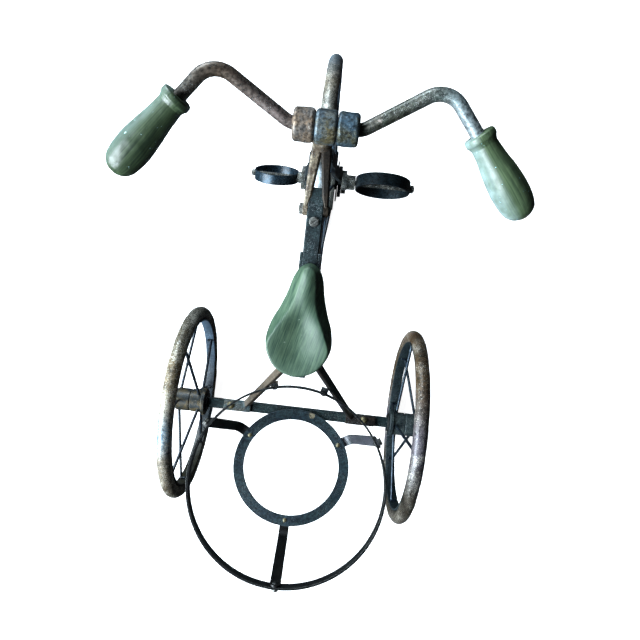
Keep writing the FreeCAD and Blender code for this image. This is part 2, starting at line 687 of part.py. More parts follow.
def strut_bar(foot, top):
    """A right strut's square bar, turned about its own run, cut off at the beam, backbone and seat."""
    beam_top = AXLE_Z + BEAM / 2
    run = top - foot
    width = run.cross(Z_AXIS).normalize()
    bar = Part.makeBox(STRUT_W, STRUT_W, run.Length + 14, V(-STRUT_W / 2, -STRUT_W / 2, -8))
    bar = bar.makeChamfer(STRUT_CORNER, [e for e in bar.Edges if abs(e.tangentAt(0).z) > 0.9])
    bar.rotate(V(), Z_AXIS, STRUT_TWIST)
    bar.Placement = FreeCAD.Placement(foot, FreeCAD.Rotation(width, V(), run, "ZXY")) * bar.Placement
    below_plate = box((0, 200), (-50, 50), (0, beam_top))
    backbone_side = on_backbone(box((-50, BACKBONE_W / 2), (-50, 80), (-50, 50)))
    outer_side = on_backbone(box((BACKBONE_W / 2 + LUG_T, 50), (-50, 80), (-LUG_R, 50)))
    under_seat = on_backbone(box((-50, 50), (-50, 80), (BACKBONE_H / 2, 50)))
    for waste in (under_seat, below_plate, backbone_side, outer_side):
        bar = bar.cut(waste)
    return bar


def hoop_tab():
    """A small block along +X that fills the gap between the hoop and the strut beside it."""
    across = HOOP_TAB_W / 2
    z = HOOP_TOP_Z - HOOP_H / 2
    return box((HOOP_R, HOOP_R + HOOP_TAB_REACH), (-across, across), (z - HOOP_TAB_H / 2, z + HOOP_TAB_H / 2))


def strut(side):
    """A strut drawn on the right: foot plate on the axle beam, square bar, hoop tab and backbone lug."""
    beam_top = AXLE_Z + BEAM / 2
    foot_end = FOOT_X[side][1]
    foot_y = (-BEAM / 2 - FOOT_PAST_BEAM[0], BEAM / 2 + FOOT_PAST_BEAM[1])
    foot = box(FOOT_X[side], foot_y, (beam_top, beam_top + PLATE_T))
    corners = [e for e in foot.Edges if e.BoundBox.XMin > foot_end - 0.1 and e.BoundBox.ZLength > PLATE_T / 2]
    foot = foot.makeFillet(3.0, corners)
    lug_start = backbone_point(BACKBONE_W / 2, STRUT_BOLT_S, 0)
    lug = rod(lug_start, lug_start + X_AXIS * LUG_T, LUG_R)
    lug = lug.cut(on_backbone(box((-50, 50), (-50, 80), (BACKBONE_H / 2, 50))))
    tab = about_pot(hoop_tab(), -hoop_tab_bearing(side))
    return joined([foot, strut_bar(*STRUT_ENDS[side]), lug, tab])


def foot_bolt(sign):
    top = AXLE_Z + BEAM / 2 + PLATE_T
    x = sign * FOOT_BOLT_X
    shank = rod(V(x, 0, AXLE_Z - BEAM / 2 - FOOT_NUT_H - 1.5), V(x, 0, top), FOOT_BOLT_R)
    return joined([shank, domed_head(V(x, 0, top), Z_AXIS, *FOOT_BOLT_HEAD)])


def foot_nut(sign):
    low = AXLE_Z - BEAM / 2
    return hexagon(V(sign * FOOT_BOLT_X, 0, low), V(sign * FOOT_BOLT_X, 0, low - FOOT_NUT_H), FOOT_NUT_R)


def pot_ring():
    bottom = V(0, POT_CENTRE_Y, AXLE_Z + BEAM / 2)
    disc = Part.makeCylinder(POT_RING_R, PLATE_T, bottom)
    return disc.cut(Part.makeCylinder(POT_RING_BORE_R, PLATE_T, bottom))


def pot_hoop():
    bottom = V(0, POT_CENTRE_Y, HOOP_TOP_Z - HOOP_H)
    band = Part.makeCylinder(HOOP_R, HOOP_H, bottom)
    return band.cut(Part.makeCylinder(HOOP_R - HOOP_T, HOOP_H, bottom))


def strap(outside):
    """A strap along +X from under the pot ring up to one face of the hoop, with a rounded end."""
    flat_z = AXLE_Z + BEAM / 2 - STRAP_T / 2
    hoop_r = HOOP_R + STRAP_T / 2 if outside else HOOP_R - HOOP_T - STRAP_T / 2
    outline = [(STRAP_START_R, flat_z), (STRAP_BEND_AT_R, flat_z), (hoop_r, HOOP_TOP_Z - HOOP_H - 2.0),
               (hoop_r, HOOP_TOP_Z)]
    bar = bent_flat_bar(outline, STRAP_CORNER_R, STRAP_W, STRAP_T)
    half = STRAP_W / 2
    corner_z = HOOP_TOP_Z - half
    end = box((hoop_r - 5, hoop_r + 5), (-half, half), (corner_z, HOOP_TOP_Z))
    tongue = rod(V(hoop_r - 5, 0, corner_z), V(hoop_r + 5, 0, corner_z), half)
    return bar.cut(end.cut(tongue))


def ring_rivet():
    """A rivet along the strap's line, domed on top of the pot ring."""
    top = AXLE_Z + BEAM / 2 + PLATE_T
    shank = rod(V(RIVET_CIRCLE_R, 0, top - PLATE_T - STRAP_T), V(RIVET_CIRCLE_R, 0, top), RIVET_R)
    return joined([shank, domed_head(V(RIVET_CIRCLE_R, 0, top), Z_AXIS, *RIVET_HEAD)])


def hoop_bolt(head_r, nut_r):
    """A bolt along +X through the hoop, with its head inside and its end outside the nut."""
    z = HOOP_TOP_Z - HOOP_H / 2
    shank = rod(V(head_r, 0, z), V(nut_r + HOOP_NUT_H, 0, z), HOOP_BOLT_R)
    return joined([shank, domed_head(V(head_r, 0, z), -X_AXIS, *HOOP_BOLT_HEAD)])


def strut_rivet():
    """A rivet along +X through the hoop into a strut's tab, its head inside the hoop."""
    z = HOOP_TOP_Z - HOOP_H / 2
    head_r = HOOP_R - HOOP_T
    shank = rod(V(head_r, 0, z), V(HOOP_R + HOOP_TAB_REACH - 1.0, 0, z), HOOP_BOLT_R)
    return joined([shank, domed_head(V(head_r, 0, z), -X_AXIS, *HOOP_BOLT_HEAD)])


def hoop_nut(nut_r):
    z = HOOP_TOP_Z - HOOP_H / 2
    return hexagon(V(nut_r, 0, z), V(nut_r + HOOP_NUT_H, 0, z), HOOP_NUT_R)


def hoop_tab_bearing(side):
    """Angle from forward, about the pot's axis, of the tab on a strut's inner side."""
    foot, top = STRUT_ENDS[side]
    point = foot + (top - foot) * ((HOOP_TOP_Z - HOOP_H / 2 - foot.z) / (top.z - foot.z))
    return math.degrees(math.atan2(point.x - HOOP_TAB_INWARD[side], point.y - POT_CENTRE_Y))


def pot_holder():
    """Base ring, hoop, straps and their rivets and bolts."""
    ring = pot_ring()
    hoop = pot_hoop()
    straps = {"strap_" + name: about_pot(strap(STRAP_OUTSIDE[name]), bearing)
              for name, bearing in STRAP_BEARINGS.items()}
    straps["strap_rear"] = straps["strap_rear"].cut(hoop)
    rivets = [about_pot(ring_rivet(), bearing) for bearing in STRAP_BEARINGS.values()]
    bolts = []
    nuts = []
    for name, bearing in STRAP_BEARINGS.items():
        inner_r = HOOP_R - HOOP_T - (0 if STRAP_OUTSIDE[name] else STRAP_T)
        outer_r = HOOP_R + (STRAP_T if STRAP_OUTSIDE[name] else 0)
        bolts.append(about_pot(hoop_bolt(inner_r, outer_r), bearing))
        nuts.append(about_pot(hoop_nut(outer_r), bearing))
    strut_rivets = [about_pot(strut_rivet(), -sign * hoop_tab_bearing(side)) for side, sign in SIDES.items()]
    parts = {"pot_ring": without(ring, *rivets), "pot_hoop": without(hoop, *bolts, *strut_rivets)}
    for node, shape in straps.items():
        parts[node] = without(shape, *rivets, *bolts)
    parts["ring_rivets"] = Part.makeCompound(rivets)
    parts["hoop_bolts"] = Part.makeCompound(bolts)
    parts["hoop_strut_rivets"] = Part.makeCompound(strut_rivets)
    parts["hoop_nuts"] = Part.makeCompound([without(nut, *bolts) for nut in nuts])
    return parts


def seat_outline(half_widths, h):
    """A closed teardrop through (distance from the seat's rear, half width) points, at height h."""
    right = [V(w, s, h) for s, w in half_widths]
    left = [V(-w, s, h) for s, w in reversed(half_widths[1:-1])]
    outline = Part.BSplineCurve()
    outline.interpolate(right + left, PeriodicFlag=True)
    return Part.Wire([outline.toShape()])


def seat():
    """The carved seat: a teardrop in plan with flared sides, a rounded rim and a dished top."""
    sides = [seat_outline(SEAT_BASE, 0), seat_outline(SEAT_BASE, SEAT_FOOT_H), seat_outline(SEAT_TOP, SEAT_T)]
    foot = Part.makeLoft(sides[:2], True, True)
    body = Part.makeLoft(sides[1:], True, True)
    block = joined([foot, body])
    block = block.makeFillet(SEAT_TOP_ROUND, [e for e in block.Edges if e.BoundBox.ZMin > SEAT_T - 0.1])
    dish = Part.makeSphere(SEAT_DISH_R, V(0, SEAT_DISH_AT, SEAT_T - SEAT_DISH_DEPTH + SEAT_DISH_R))
    block = block.cut(dish)
    block.rotate(V(0, SEAT_TURN_AT, 0), Z_AXIS, SEAT_TURN)
    block.translate(V(0, SEAT_START_S, BACKBONE_H / 2))
    return on_backbone(block)


def seat_bracket():
    """A channel round the backbone from below; its two cheeks reach up to the seat."""
    inner = BACKBONE_W / 2
    outer = inner + BRACKET_WALL
    along = (BRACKET_START_S, BRACKET_END_S)
    top = BACKBONE_H / 2
    solid = box((-outer, outer), along, (-top - BRACKET_WALL, top))
    return on_backbone(solid.cut(box((-inner, inner), along, (-top, top))))


def seat_screw(s):
    """A screw up through bracket and backbone into the seat."""
    low = -BACKBONE_H / 2 - BRACKET_WALL
    shank = rod(V(0, s, low), V(0, s, BACKBONE_H / 2 + SEAT_SCREW_DEPTH), SEAT_SCREW_R)
    return on_backbone(joined([shank, domed_head(V(0, s, low), -Z_AXIS, *SEAT_SCREW_HEAD)]))


def backbone_screw():
    """The slotted pan-head screw on top of the backbone."""
    at = V(0, BACKBONE_SCREW_S, BACKBONE_H / 2)
    head_top = at.z + BACKBONE_SCREW_HEAD_H
    shank = rod(at - Z_AXIS * BACKBONE_H, at, BACKBONE_SCREW_R)
    head = Part.makeCylinder(BACKBONE_SCREW_HEAD_R, BACKBONE_SCREW_HEAD_H, at)
    head = head.makeFillet(1.2, [e for e in head.Edges if e.BoundBox.ZMin > head_top - 0.1])
    slot = box((-6, 6), (at.y - 0.6, at.y + 0.6), (head_top - 1.2, head_top + 1.2))
    slot.rotate(at, Z_AXIS, 35)
    return on_backbone(joined([shank, head]).cut(slot))


def neck_section(y, x_low, x_high, z):
    """An upright rectangle with cut corners, across the neck's right leg."""
    cut = NECK_CORNER
    half_w = (x_high - x_low) / 2
    half_h = NECK_PLATE_H / 2
    quarter = [(half_w - cut, half_h), (half_w, half_h - cut)]
    upper = [(-x, h) for x, h in reversed(quarter)] + quarter
    outline = upper + [(-x, -h) for x, h in upper]
    corners = [V(x_low + half_w + x, y, z + h) for x, h in outline]
    return Part.makePolygon(corners + corners[:1])


def neck_plate():
    """The right leg of the neck, from the head tube back to a flat eye on the backbone's side."""
    back = backbone_point(0, NECK_BOLT_S, 0)
    span = STEER_Y - back.y
    wires = [neck_section(back.y + share * span, x_low, x_high, back.z + share * NECK_RISE)
             for share, x_low, x_high in NECK_SECTIONS]
    legs = [Part.makeLoft(list(pair), True, True) for pair in zip(wires, wires[1:])]
    inner = BACKBONE_W / 2
    eye = rod(back + X_AXIS * inner, back + X_AXIS * (inner + LUG_T), NECK_PLATE_H / 2 + NECK_EYE_MARGIN)
    head = Part.makeCylinder(HEAD_TUBE_R, 200, V(0, STEER_Y, 250))
    return joined([eye] + legs).cut(head)


def head_tube():
    low, high = HEAD_TUBE_Z
    tube = Part.makeCylinder(HEAD_TUBE_R, high - low, V(0, STEER_Y, low))
    tube = tube.makeFillet(1.2, round_edges(tube))
    return tube.cut(Part.makeCylinder(STEERER_R + RUNNING_CLEARANCE, high - low, V(0, STEER_Y, low)))


def frame_parts():
    holder = pot_holder()
    bolts = [cross_bolt(s) for s in (STRUT_BOLT_S, NECK_BOLT_S)]
    nuts = [cross_bolt_nut(s) for s in (STRUT_BOLT_S, NECK_BOLT_S)]
    screws = [seat_screw(s) for s in SEAT_SCREWS_S]
    foot_bolts = [foot_bolt(sign) for sign in SIDES.values()]
    top_screw = backbone_screw()
    neck_plates = {"neck_plate_" + side: without(mirrored(neck_plate(), side), *bolts) for side in SIDES}
    strut_rivets = holder["hoop_strut_rivets"].Solids
    parts = {
        "axle_beam": without(axle_beam(), *foot_bolts),
        "backbone": without(backbone(), *bolts, *screws, top_screw, *neck_plates.values()),
        "seat": without(seat(), *screws),
        "seat_bracket": without(seat_bracket(), *screws),
        "seat_screws": Part.makeCompound(screws),
        "backbone_screw": top_screw,
        "head_tube": head_tube(),
        "cross_bolts": Part.makeCompound(bolts),
        "cross_bolt_nuts": Part.makeCompound([without(nut, *bolts) for nut in nuts]),
        "strut_foot_bolts": Part.makeCompound(foot_bolts),
        "strut_foot_nuts": Part.makeCompound([without(foot_nut(s), *foot_bolts) for s in SIDES.values()]),
    }
    for side in SIDES:
        leg = mirrored(strut(side), side)
        parts["strut_" + side] = without(leg, holder["pot_hoop"], *strut_rivets, *bolts, *foot_bolts)
    parts.update(neck_plates)
    parts.update(holder)
    parts.update(rear_axle_fasteners())
    return parts


def main():
    os.makedirs("parts", exist_ok=True)
    parts = frame_parts()
    parts.update(fork_parts())
    parts.update(front_wheel())
    parts.update(drive_parts())
    for side in SIDES:
        parts.update(rear_wheel(side))
    for node, shape in sorted(parts.items()):
        shape.translate(ORIGIN_SHIFT)
        state = "valid" if shape.isValid() else "BAD"
        print(node, len(shape.Solids), "solids", round(shape.Volume / 1000, 2), "cm3", state)
        shape.exportStep("parts/" + node + ".step")
    print(len(parts), "nodes, origin shift", round(ORIGIN_SHIFT.y, 2))


main()
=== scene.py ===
import json
import math

import bmesh
import bpy
from mathutils import Matrix, Vector, noise


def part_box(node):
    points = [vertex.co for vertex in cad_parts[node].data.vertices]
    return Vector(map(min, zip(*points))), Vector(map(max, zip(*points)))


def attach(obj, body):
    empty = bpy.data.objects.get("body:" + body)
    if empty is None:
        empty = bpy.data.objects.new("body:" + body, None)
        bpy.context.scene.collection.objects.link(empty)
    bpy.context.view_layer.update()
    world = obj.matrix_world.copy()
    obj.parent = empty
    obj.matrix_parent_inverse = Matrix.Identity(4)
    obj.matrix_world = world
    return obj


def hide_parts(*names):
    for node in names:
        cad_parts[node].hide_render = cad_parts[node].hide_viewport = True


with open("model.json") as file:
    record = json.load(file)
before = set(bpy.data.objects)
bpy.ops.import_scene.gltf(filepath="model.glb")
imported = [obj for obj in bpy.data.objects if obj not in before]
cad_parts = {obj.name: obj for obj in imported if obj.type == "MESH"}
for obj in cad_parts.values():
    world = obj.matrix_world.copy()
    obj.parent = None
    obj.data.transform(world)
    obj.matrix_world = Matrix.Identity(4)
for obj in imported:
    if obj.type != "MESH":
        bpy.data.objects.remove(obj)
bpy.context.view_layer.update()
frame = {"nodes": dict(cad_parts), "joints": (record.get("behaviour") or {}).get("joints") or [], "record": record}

# Velocipede tricycle plant stand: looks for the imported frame. Metres, +Y forward, +Z up.

NODES = frame["nodes"]
JOINTS = {joint["name"]: joint for joint in frame["joints"]}
MM = 0.001
X_AXIS = Vector((1, 0, 0))
Z_AXIS = Vector((0, 0, 1))
REAR_WHEEL = Vector(JOINTS["rear_wheel_left_spin"]["pos_m"])
REAR_AXLE = Vector((0, REAR_WHEEL.y, REAR_WHEEL.z))


# Camera: its place from the middle of the rear axle, and its turn in radians

CAMERA_FROM_REAR_AXLE = Vector((0.01881, 0.08637, 0.73173))
CAMERA_TURN = (0.05532, -0.00244, 0.11414)
LENS_MM = 30.28
SENSOR_MM = 36.0
NEAREST_SEEN = 0.01


def add_camera():
    data = bpy.data.cameras.new("camera")
    data.sensor_width = SENSOR_MM
    data.lens = LENS_MM
    data.clip_start = NEAREST_SEEN
    camera = bpy.data.objects.new("camera", data)
    camera.location = REAR_AXLE + CAMERA_FROM_REAR_AXLE
    camera.rotation_euler = CAMERA_TURN
    bpy.context.scene.collection.objects.link(camera)
    bpy.context.scene.camera = camera


add_camera()


# Materials: a node-building helper, then one function for each kind of surface

# The colour sockets of a Mix node
MIX_FIRST = 6
MIX_SECOND = 7
MIX_RESULT = 2


class Shader:
    """One node material. Its methods add nodes and return an output socket."""

    def __init__(self, name):
        self.material = bpy.data.materials.new(name)
        self.material.use_nodes = True
        self.tree = self.material.node_tree
        self.surface = self.tree.nodes["Principled BSDF"]
        self.place = self.node("ShaderNodeTexCoord").outputs["Object"]

    def node(self, kind, **settings):
        made = self.tree.nodes.new(kind)
        for key, value in settings.items():
            setattr(made, key, value)
        return made

    def feed(self, socket, value):
        if isinstance(value, bpy.types.NodeSocket):
            self.tree.links.new(value, socket)
        elif isinstance(value, tuple) and len(value) == 3 and socket.type == "RGBA":
            socket.default_value = (*value, 1.0)
        else:
            socket.default_value = value

    def set(self, **inputs):
        """Feeds the Principled shader; underscores in the names stand for spaces."""
        for key, value in inputs.items():
            self.feed(self.surface.inputs[key.replace("_", " ")], value)

    def drawn_coordinates(self):
        """The UV map, which the built pieces lay out along their own length and width."""
        return self.node("ShaderNodeTexCoord").outputs["UV"]

    def drawn_streaks(self, squeeze):
        """Drawn coordinates squeezed along the piece, so that noise runs in streaks."""
        mapping = self.node("ShaderNodeMapping")
        self.feed(mapping.inputs["Vector"], self.drawn_coordinates())
        mapping.inputs["Scale"].default_value = (1.0, squeeze, 1.0)
        return mapping.outputs["Vector"]

    def turned_and_stretched(self, angle, scale):
        """Object coordinates turned about Z, then scaled, so that noise runs in streaks."""
        mapping = self.node("ShaderNodeMapping", vector_type="TEXTURE")
        self.feed(mapping.inputs["Vector"], self.place)
        mapping.inputs["Rotation"].default_value = (0, 0, angle)
        mapping.inputs["Scale"].default_value = tuple(1 / value for value in scale)
        return mapping.outputs["Vector"]

    def near(self, point, radius):
        """1 close to a point in the frame, 0 beyond a ragged radius."""
        distance = self.node("ShaderNodeVectorMath", operation="DISTANCE")
        self.feed(distance.inputs[0], self.place)
        distance.inputs[1].default_value = point
        share = self.maths("DIVIDE", distance.outputs["Value"], radius)
        ragged = self.maths("MULTIPLY", self.noise(260.0, 5.0, 0.7), 0.6)
        return self.ramp(self.maths("ADD", share, ragged), (0.92, 1.0), (1.0, 0.0))

    def along(self, axis, low, high):
        """0 to 1 between two object coordinates of one axis."""
        split = self.node("ShaderNodeSeparateXYZ")
        self.feed(split.inputs[0], self.place)
        made = self.node("ShaderNodeMapRange")
        self.feed(made.inputs["Value"], split.outputs[axis])
        made.inputs["From Min"].default_value = low
        made.inputs["From Max"].default_value = high
        return made.outputs["Result"]

    def noise(self, scale, detail, roughness=0.55, distortion=0.0, at=None):
        made = self.node("ShaderNodeTexNoise")
        self.feed(made.inputs["Vector"], at or self.place)
        made.inputs["Scale"].default_value = scale
        made.inputs["Detail"].default_value = detail
        made.inputs["Roughness"].default_value = roughness
        made.inputs["Distortion"].default_value = distortion
        return made.outputs["Fac"]

    def ramp(self, value, *stops):
        """A grey or colour ramp; each stop is (position, grey or (r, g, b))."""
        made = self.node("ShaderNodeValToRGB")
        elements = made.color_ramp.elements
        while len(elements) < len(stops):
            elements.new(0.5)
        for element, (position, shade) in zip(elements, stops):
            element.position = position
            colour = shade if isinstance(shade, tuple) else (shade, shade, shade)
            element.color = (*colour, 1.0)
        self.feed(made.inputs["Fac"], value)
        return made.outputs["Color"]

    def maths(self, operation, first, second):
        made = self.node("ShaderNodeMath", operation=operation, use_clamp=True)
        self.feed(made.inputs[0], first)
        self.feed(made.inputs[1], second)
        return made.outputs["Value"]

    def mix(self, factor, first, second, blend="MIX"):
        made = self.node("ShaderNodeMix", data_type="RGBA", blend_type=blend)
        self.feed(made.inputs["Factor"], factor)
        self.feed(made.inputs[MIX_FIRST], first)
        self.feed(made.inputs[MIX_SECOND], second)
        return made.outputs[MIX_RESULT]

    def rounded_normal(self, radius):
        bevel = self.node("ShaderNodeBevel", samples=4)
        bevel.inputs["Radius"].default_value = radius
        return bevel.outputs["Normal"]

    def edges(self, radius):
        """Bright on edges, from how far a rounded normal leans away from the face."""
        normal = self.node("ShaderNodeNewGeometry").outputs["Normal"]
        dot = self.node("ShaderNodeVectorMath", operation="DOT_PRODUCT")
        self.feed(dot.inputs[0], self.rounded_normal(radius))
        self.feed(dot.inputs[1], normal)
        return self.maths("SUBTRACT", 1.0, dot.outputs["Value"])

    def bump(self, height, strength, distance, normal=None):
        made = self.node("ShaderNodeBump")
        made.inputs["Strength"].default_value = strength
        made.inputs["Distance"].default_value = distance
        self.feed(made.inputs["Height"], height)
        if normal is not None:
            self.feed(made.inputs["Normal"], normal)
        return made.outputs["Normal"]


def aged_metal(name, paint, second, worn, patch=70.0, wear=0.5, speckle=0.5, pale=(0.55, 0.6, 0.6),
               rough=(0.32, 0.55), metallic=0.35, pitting=1.0, crust=0.0, zones=None, spots=()):
    """Paint over iron: mottled coats, worn edges and scuffs, pale specks, fine pitting.

    patch is the scale of the mottling, and a higher one makes smaller patches.
    zones is an optional (axis, low, high, stops) that tints the coats along the piece, with its own tones and, in
    some tables, painted highlights.
    spots are (point, radius, colour) patches, and crust is how much pale scale there is."""
    s = Shader(name)
    blotch = s.noise(patch, 6.0, 0.62, 0.6)
    fine = s.noise(patch * 7, 5.0, 0.6)
    grit = s.noise(1300.0, 3.0, 0.7)
    coats = s.ramp(blotch, (0.41, paint), (0.57, second))
    if zones:
        axis, low, high, stops = zones
        tint = s.ramp(s.along(axis, low, high), *stops)
        coats = s.mix(s.ramp(blotch, (0.4, 0.55), (0.6, 1.0)), coats, tint)
    for point, radius, shade in spots:
        coats = s.mix(s.near(point, radius), coats, shade)
    colour = s.mix(1.0, coats, s.ramp(fine, (0.34, 0.2), (0.62, 1.25)), "MULTIPLY")
    if crust:
        scale = s.maths("MULTIPLY", s.noise(850.0, 6.0, 0.7, 0.4), 0.7)
        scale = s.maths("ADD", scale, s.maths("MULTIPLY", blotch, 0.3))
        flaky = s.ramp(scale, (0.56 - 0.08 * crust, 0.0), (0.60 - 0.08 * crust, 1.0))
        colour = s.mix(s.maths("MULTIPLY", flaky, 0.8), colour, pale)
    rubbed = s.maths("MULTIPLY", s.edges(0.9 * MM), s.ramp(fine, (0.3, 0.4), (0.6, 1.0)))
    rubbed = s.ramp(rubbed, (0.05, 0.0), (0.05 + 0.25 / wear, 1.0))
    scuffs = s.noise(patch * 2.2, 8.0, 0.7, 0.4)
    scuffs = s.ramp(scuffs, (0.66 - 0.1 * wear, 0.0), (0.74 - 0.08 * wear, 1.0))
    bare = s.maths("MAXIMUM", rubbed, s.maths("MULTIPLY", scuffs, wear))
    colour = s.mix(bare, colour, worn)
    zone = s.ramp(s.noise(patch * 0.8, 3.0), (0.40, 0.0), (0.60, 1.0))
    dots = s.maths("MULTIPLY", s.ramp(grit, (0.58, 0.0), (0.66, 1.0)), zone)
    colour = s.mix(s.maths("MULTIPLY", dots, speckle), colour, pale)
    s.set(Base_Color=colour, Metallic=metallic)
    s.set(Roughness=s.ramp(fine, (0.3, rough[0]), (0.7, rough[1])))
    height = s.maths("ADD", s.maths("MULTIPLY", fine, 0.6), s.maths("MULTIPLY", grit, 0.25))
    height = s.maths("SUBTRACT", height, s.maths("MULTIPLY", bare, 0.15))
    s.set(Normal=s.bump(height, 0.6 * pitting, 0.35 * MM, s.rounded_normal(0.5 * MM)))
    return s.material


TEAL_BLACK = (0.014, 0.026, 0.031)
NAVY = (0.010, 0.021, 0.036)
BLACK_IRON = (0.008, 0.010, 0.012)
STEEL_BLUE = (0.115, 0.165, 0.205)
CREAM = (0.52, 0.47, 0.36)

# Tints along a piece, from its low to its high end, as (share of the way, colour); some of them are painted
# highlights
# Left rear tyre: the browns and the pale band are its own rust and crust; the sky-blue band at 0.38 is a painted
# highlight
LEFT_TYRE_TINTS_AND_HIGHLIGHT = [
    (0.02, (0.04, 0.028, 0.010)),
    (0.16, (0.13, 0.08, 0.03)),
    (0.27, (0.25, 0.21, 0.16)),
    (0.38, (0.20, 0.36, 0.50)),
    (0.50, (0.26, 0.21, 0.14)),
    (0.64, (0.19, 0.13, 0.055)),
    (0.80, (0.08, 0.06, 0.022)),
    (0.95, (0.018, 0.014, 0.008)),
]
RIGHT_TYRE_ZONES = [
    (0.02, (0.06, 0.045, 0.035)),
    (0.14, (0.045, 0.033, 0.018)),
    (0.30, (0.055, 0.05, 0.052)),
    (0.48, (0.085, 0.075, 0.11)),
    (0.62, (0.085, 0.065, 0.055)),
    (0.76, (0.095, 0.055, 0.022)),
    (0.90, (0.07, 0.04, 0.013)),
    (0.98, (0.11, 0.055, 0.02)),
]
# Front tyre: the pale blue-white band at 0.30 and the blue at the front end are painted highlights; the brown is
# its own rust
FRONT_TYRE_TINTS_AND_HIGHLIGHTS = [
    (0.02, (0.05, 0.06, 0.06)),
    (0.30, (0.50, 0.62, 0.72)),
    (0.48, (0.26, 0.31, 0.33)),
    (0.72, (0.16, 0.13, 0.08)),
    (0.86, (0.12, 0.18, 0.23)),
    (0.96, (0.14, 0.24, 0.34)),
]
# Rims: the steel-blue at the high end is painted sheen, and the front rim, which lies beyond it, is tinted mostly
# with it; the darker tints are the rims' own
RIM_TINTS_AND_SHEEN = [
    (0.1, (0.03, 0.027, 0.012)),
    (0.35, (0.008, 0.012, 0.015)),
    (0.6, (0.014, 0.022, 0.03)),
    (0.9, (0.075, 0.12, 0.17)),
]
STRUT_FOOT_ZONES = [
    (0.7, (0.04, 0.075, 0.085)),
    (0.9, (0.13, 0.10, 0.07)),
]
# Handlebar, left to right: the pale blue at the right end is a painted highlight where the rod catches the light
BAR_TINTS_AND_HIGHLIGHT = [
    (0.14, (0.10, 0.09, 0.075)),
    (0.22, (0.12, 0.085, 0.06)),
    (0.38, (0.21, 0.165, 0.155)),
    (0.48, (0.10, 0.07, 0.045)),
    (0.56, (0.022, 0.028, 0.020)),
    (0.70, (0.030, 0.036, 0.024)),
    (0.78, (0.09, 0.12, 0.11)),
    (0.85, (0.34, 0.43, 0.46)),
]

# How far up a strut the tints of its foot go, and the black patch round each hoop tab
STRUT_FOOT_HEIGHT = 12 * MM
TAB_RADIUS = 11 * MM


def tyre_material(name, node, zones, crust):
    low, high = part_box(node)
    return aged_metal(
        name, (0.045, 0.036, 0.022), (0.03, 0.032, 0.03), (0.26, 0.27, 0.25), patch=38, speckle=1.0,
        pale=(0.60, 0.58, 0.50), rough=(0.26, 0.55), metallic=0.2, pitting=1.6, crust=crust,
        zones=("Y", low.y, high.y, zones))


def painted_wood(name, paint, shade, chip, place_streaks, streak_scale, chips, rough, sheen_and_end_chips=None):
    """Oil paint on wood: fine brush streaks, broad tone changes and a few chips.

    The last argument is (colour, amount), for turned pieces: it paints a pale sheen, a painted highlight, in
    patches along the flank that faces left, and chips the far end."""
    s = Shader(name)
    streaks = s.noise(streak_scale, 5.0, 0.6, at=place_streaks(s))
    broad = s.noise(35.0, 3.0)
    colour = s.ramp(streaks, (0.36, shade), (0.62, paint))
    colour = s.mix(s.ramp(broad, (0.38, 0.0), (0.68, 0.45)), colour, shade)
    level = s.noise(230.0, 6.0, 0.65)
    if sheen_and_end_chips:
        pale, amount = sheen_and_end_chips
        # Painted highlight: the flank that faces left is mixed in patches towards the pale colour, as if lit
        split = s.node("ShaderNodeSeparateXYZ")
        s.feed(split.inputs[0], s.drawn_coordinates())
        flank = s.ramp(split.outputs["X"], (0.28, 0.0), (0.46, 1.0), (0.52, 1.0), (0.66, 0.0))
        patchy = s.ramp(s.noise(120.0, 5.0), (0.3, 0.5 * amount), (0.6, amount))
        flank = s.maths("MULTIPLY", flank, patchy)
        colour = s.mix(flank, colour, pale)
        level = s.maths("ADD", level, s.ramp(split.outputs["Y"], (0.82, 0.0), (0.98, 0.10)))
    flakes = s.ramp(level, (0.72 - 0.05 * chips, 0.0), (0.735 - 0.05 * chips, 1.0))
    colour = s.mix(flakes, colour, chip)
    s.set(Base_Color=colour, Roughness=s.ramp(streaks, (0.3, rough), (0.7, rough + 0.14)))
    s.set(Specular_IOR_Level=0.55)
    s.set(Normal=s.bump(s.maths("SUBTRACT", streaks, flakes), 0.35, 0.15 * MM))
    return s.material


def box_point(node, x, y, z):
    """A point of a node's box, from shares between its low and high corners."""
    low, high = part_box(node)
    return (low.x + (high.x - low.x) * x, low.y + (high.y - low.y) * y, low.z + (high.z - low.z) * z)


def wheel_materials():
    low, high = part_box("rear_rim_left")
    return {
        "tyre_left": tyre_material("left_tyre_patina_and_highlight", "rear_tyre_left", LEFT_TYRE_TINTS_AND_HIGHLIGHT, 0.55),
        "tyre_right": tyre_material("right_tyre_patina", "rear_tyre_right", RIGHT_TYRE_ZONES, 0.1),
        "tyre_front": tyre_material("front_tyre_patina_and_highlights", "front_tyre", FRONT_TYRE_TINTS_AND_HIGHLIGHTS, 0.45),
        "rim_left": aged_metal(
            "mottled_rim_with_sheen", (0.004, 0.008, 0.014), (0.03, 0.045, 0.06), (0.2, 0.28, 0.34), patch=90,
            wear=0.3, speckle=0.4, metallic=0.1, zones=("Y", low.y, high.y, RIM_TINTS_AND_SHEEN)),
        "rim_right": aged_metal(
            "teal_rim", TEAL_BLACK, (0.02, 0.035, 0.04), STEEL_BLUE, patch=60, wear=0.4, speckle=0.3),
        "spoke": aged_metal(
            "black_spoke", BLACK_IRON, NAVY, (0.06, 0.09, 0.11), wear=0.2, speckle=0.2, rough=(0.25, 0.4)),
        # The right rear spokes: a lighter, bluer, more metallic copy of the spoke paint, as painted sheen
        "lit_spoke": aged_metal(
            "lit_blue_spoke", NAVY, (0.03, 0.05, 0.07), STEEL_BLUE, speckle=0.3, rough=(0.25, 0.4),
            metallic=0.6),
        "hub_left": aged_metal(
            "mottled_hub", (0.075, 0.055, 0.022), (0.010, 0.016, 0.018), CREAM, patch=110, wear=0.35,
            speckle=0.25, metallic=0.15),
        "hub_right": aged_metal(
            "grey_hub", TEAL_BLACK, (0.05, 0.07, 0.07), STEEL_BLUE, patch=90, wear=0.6),
    }


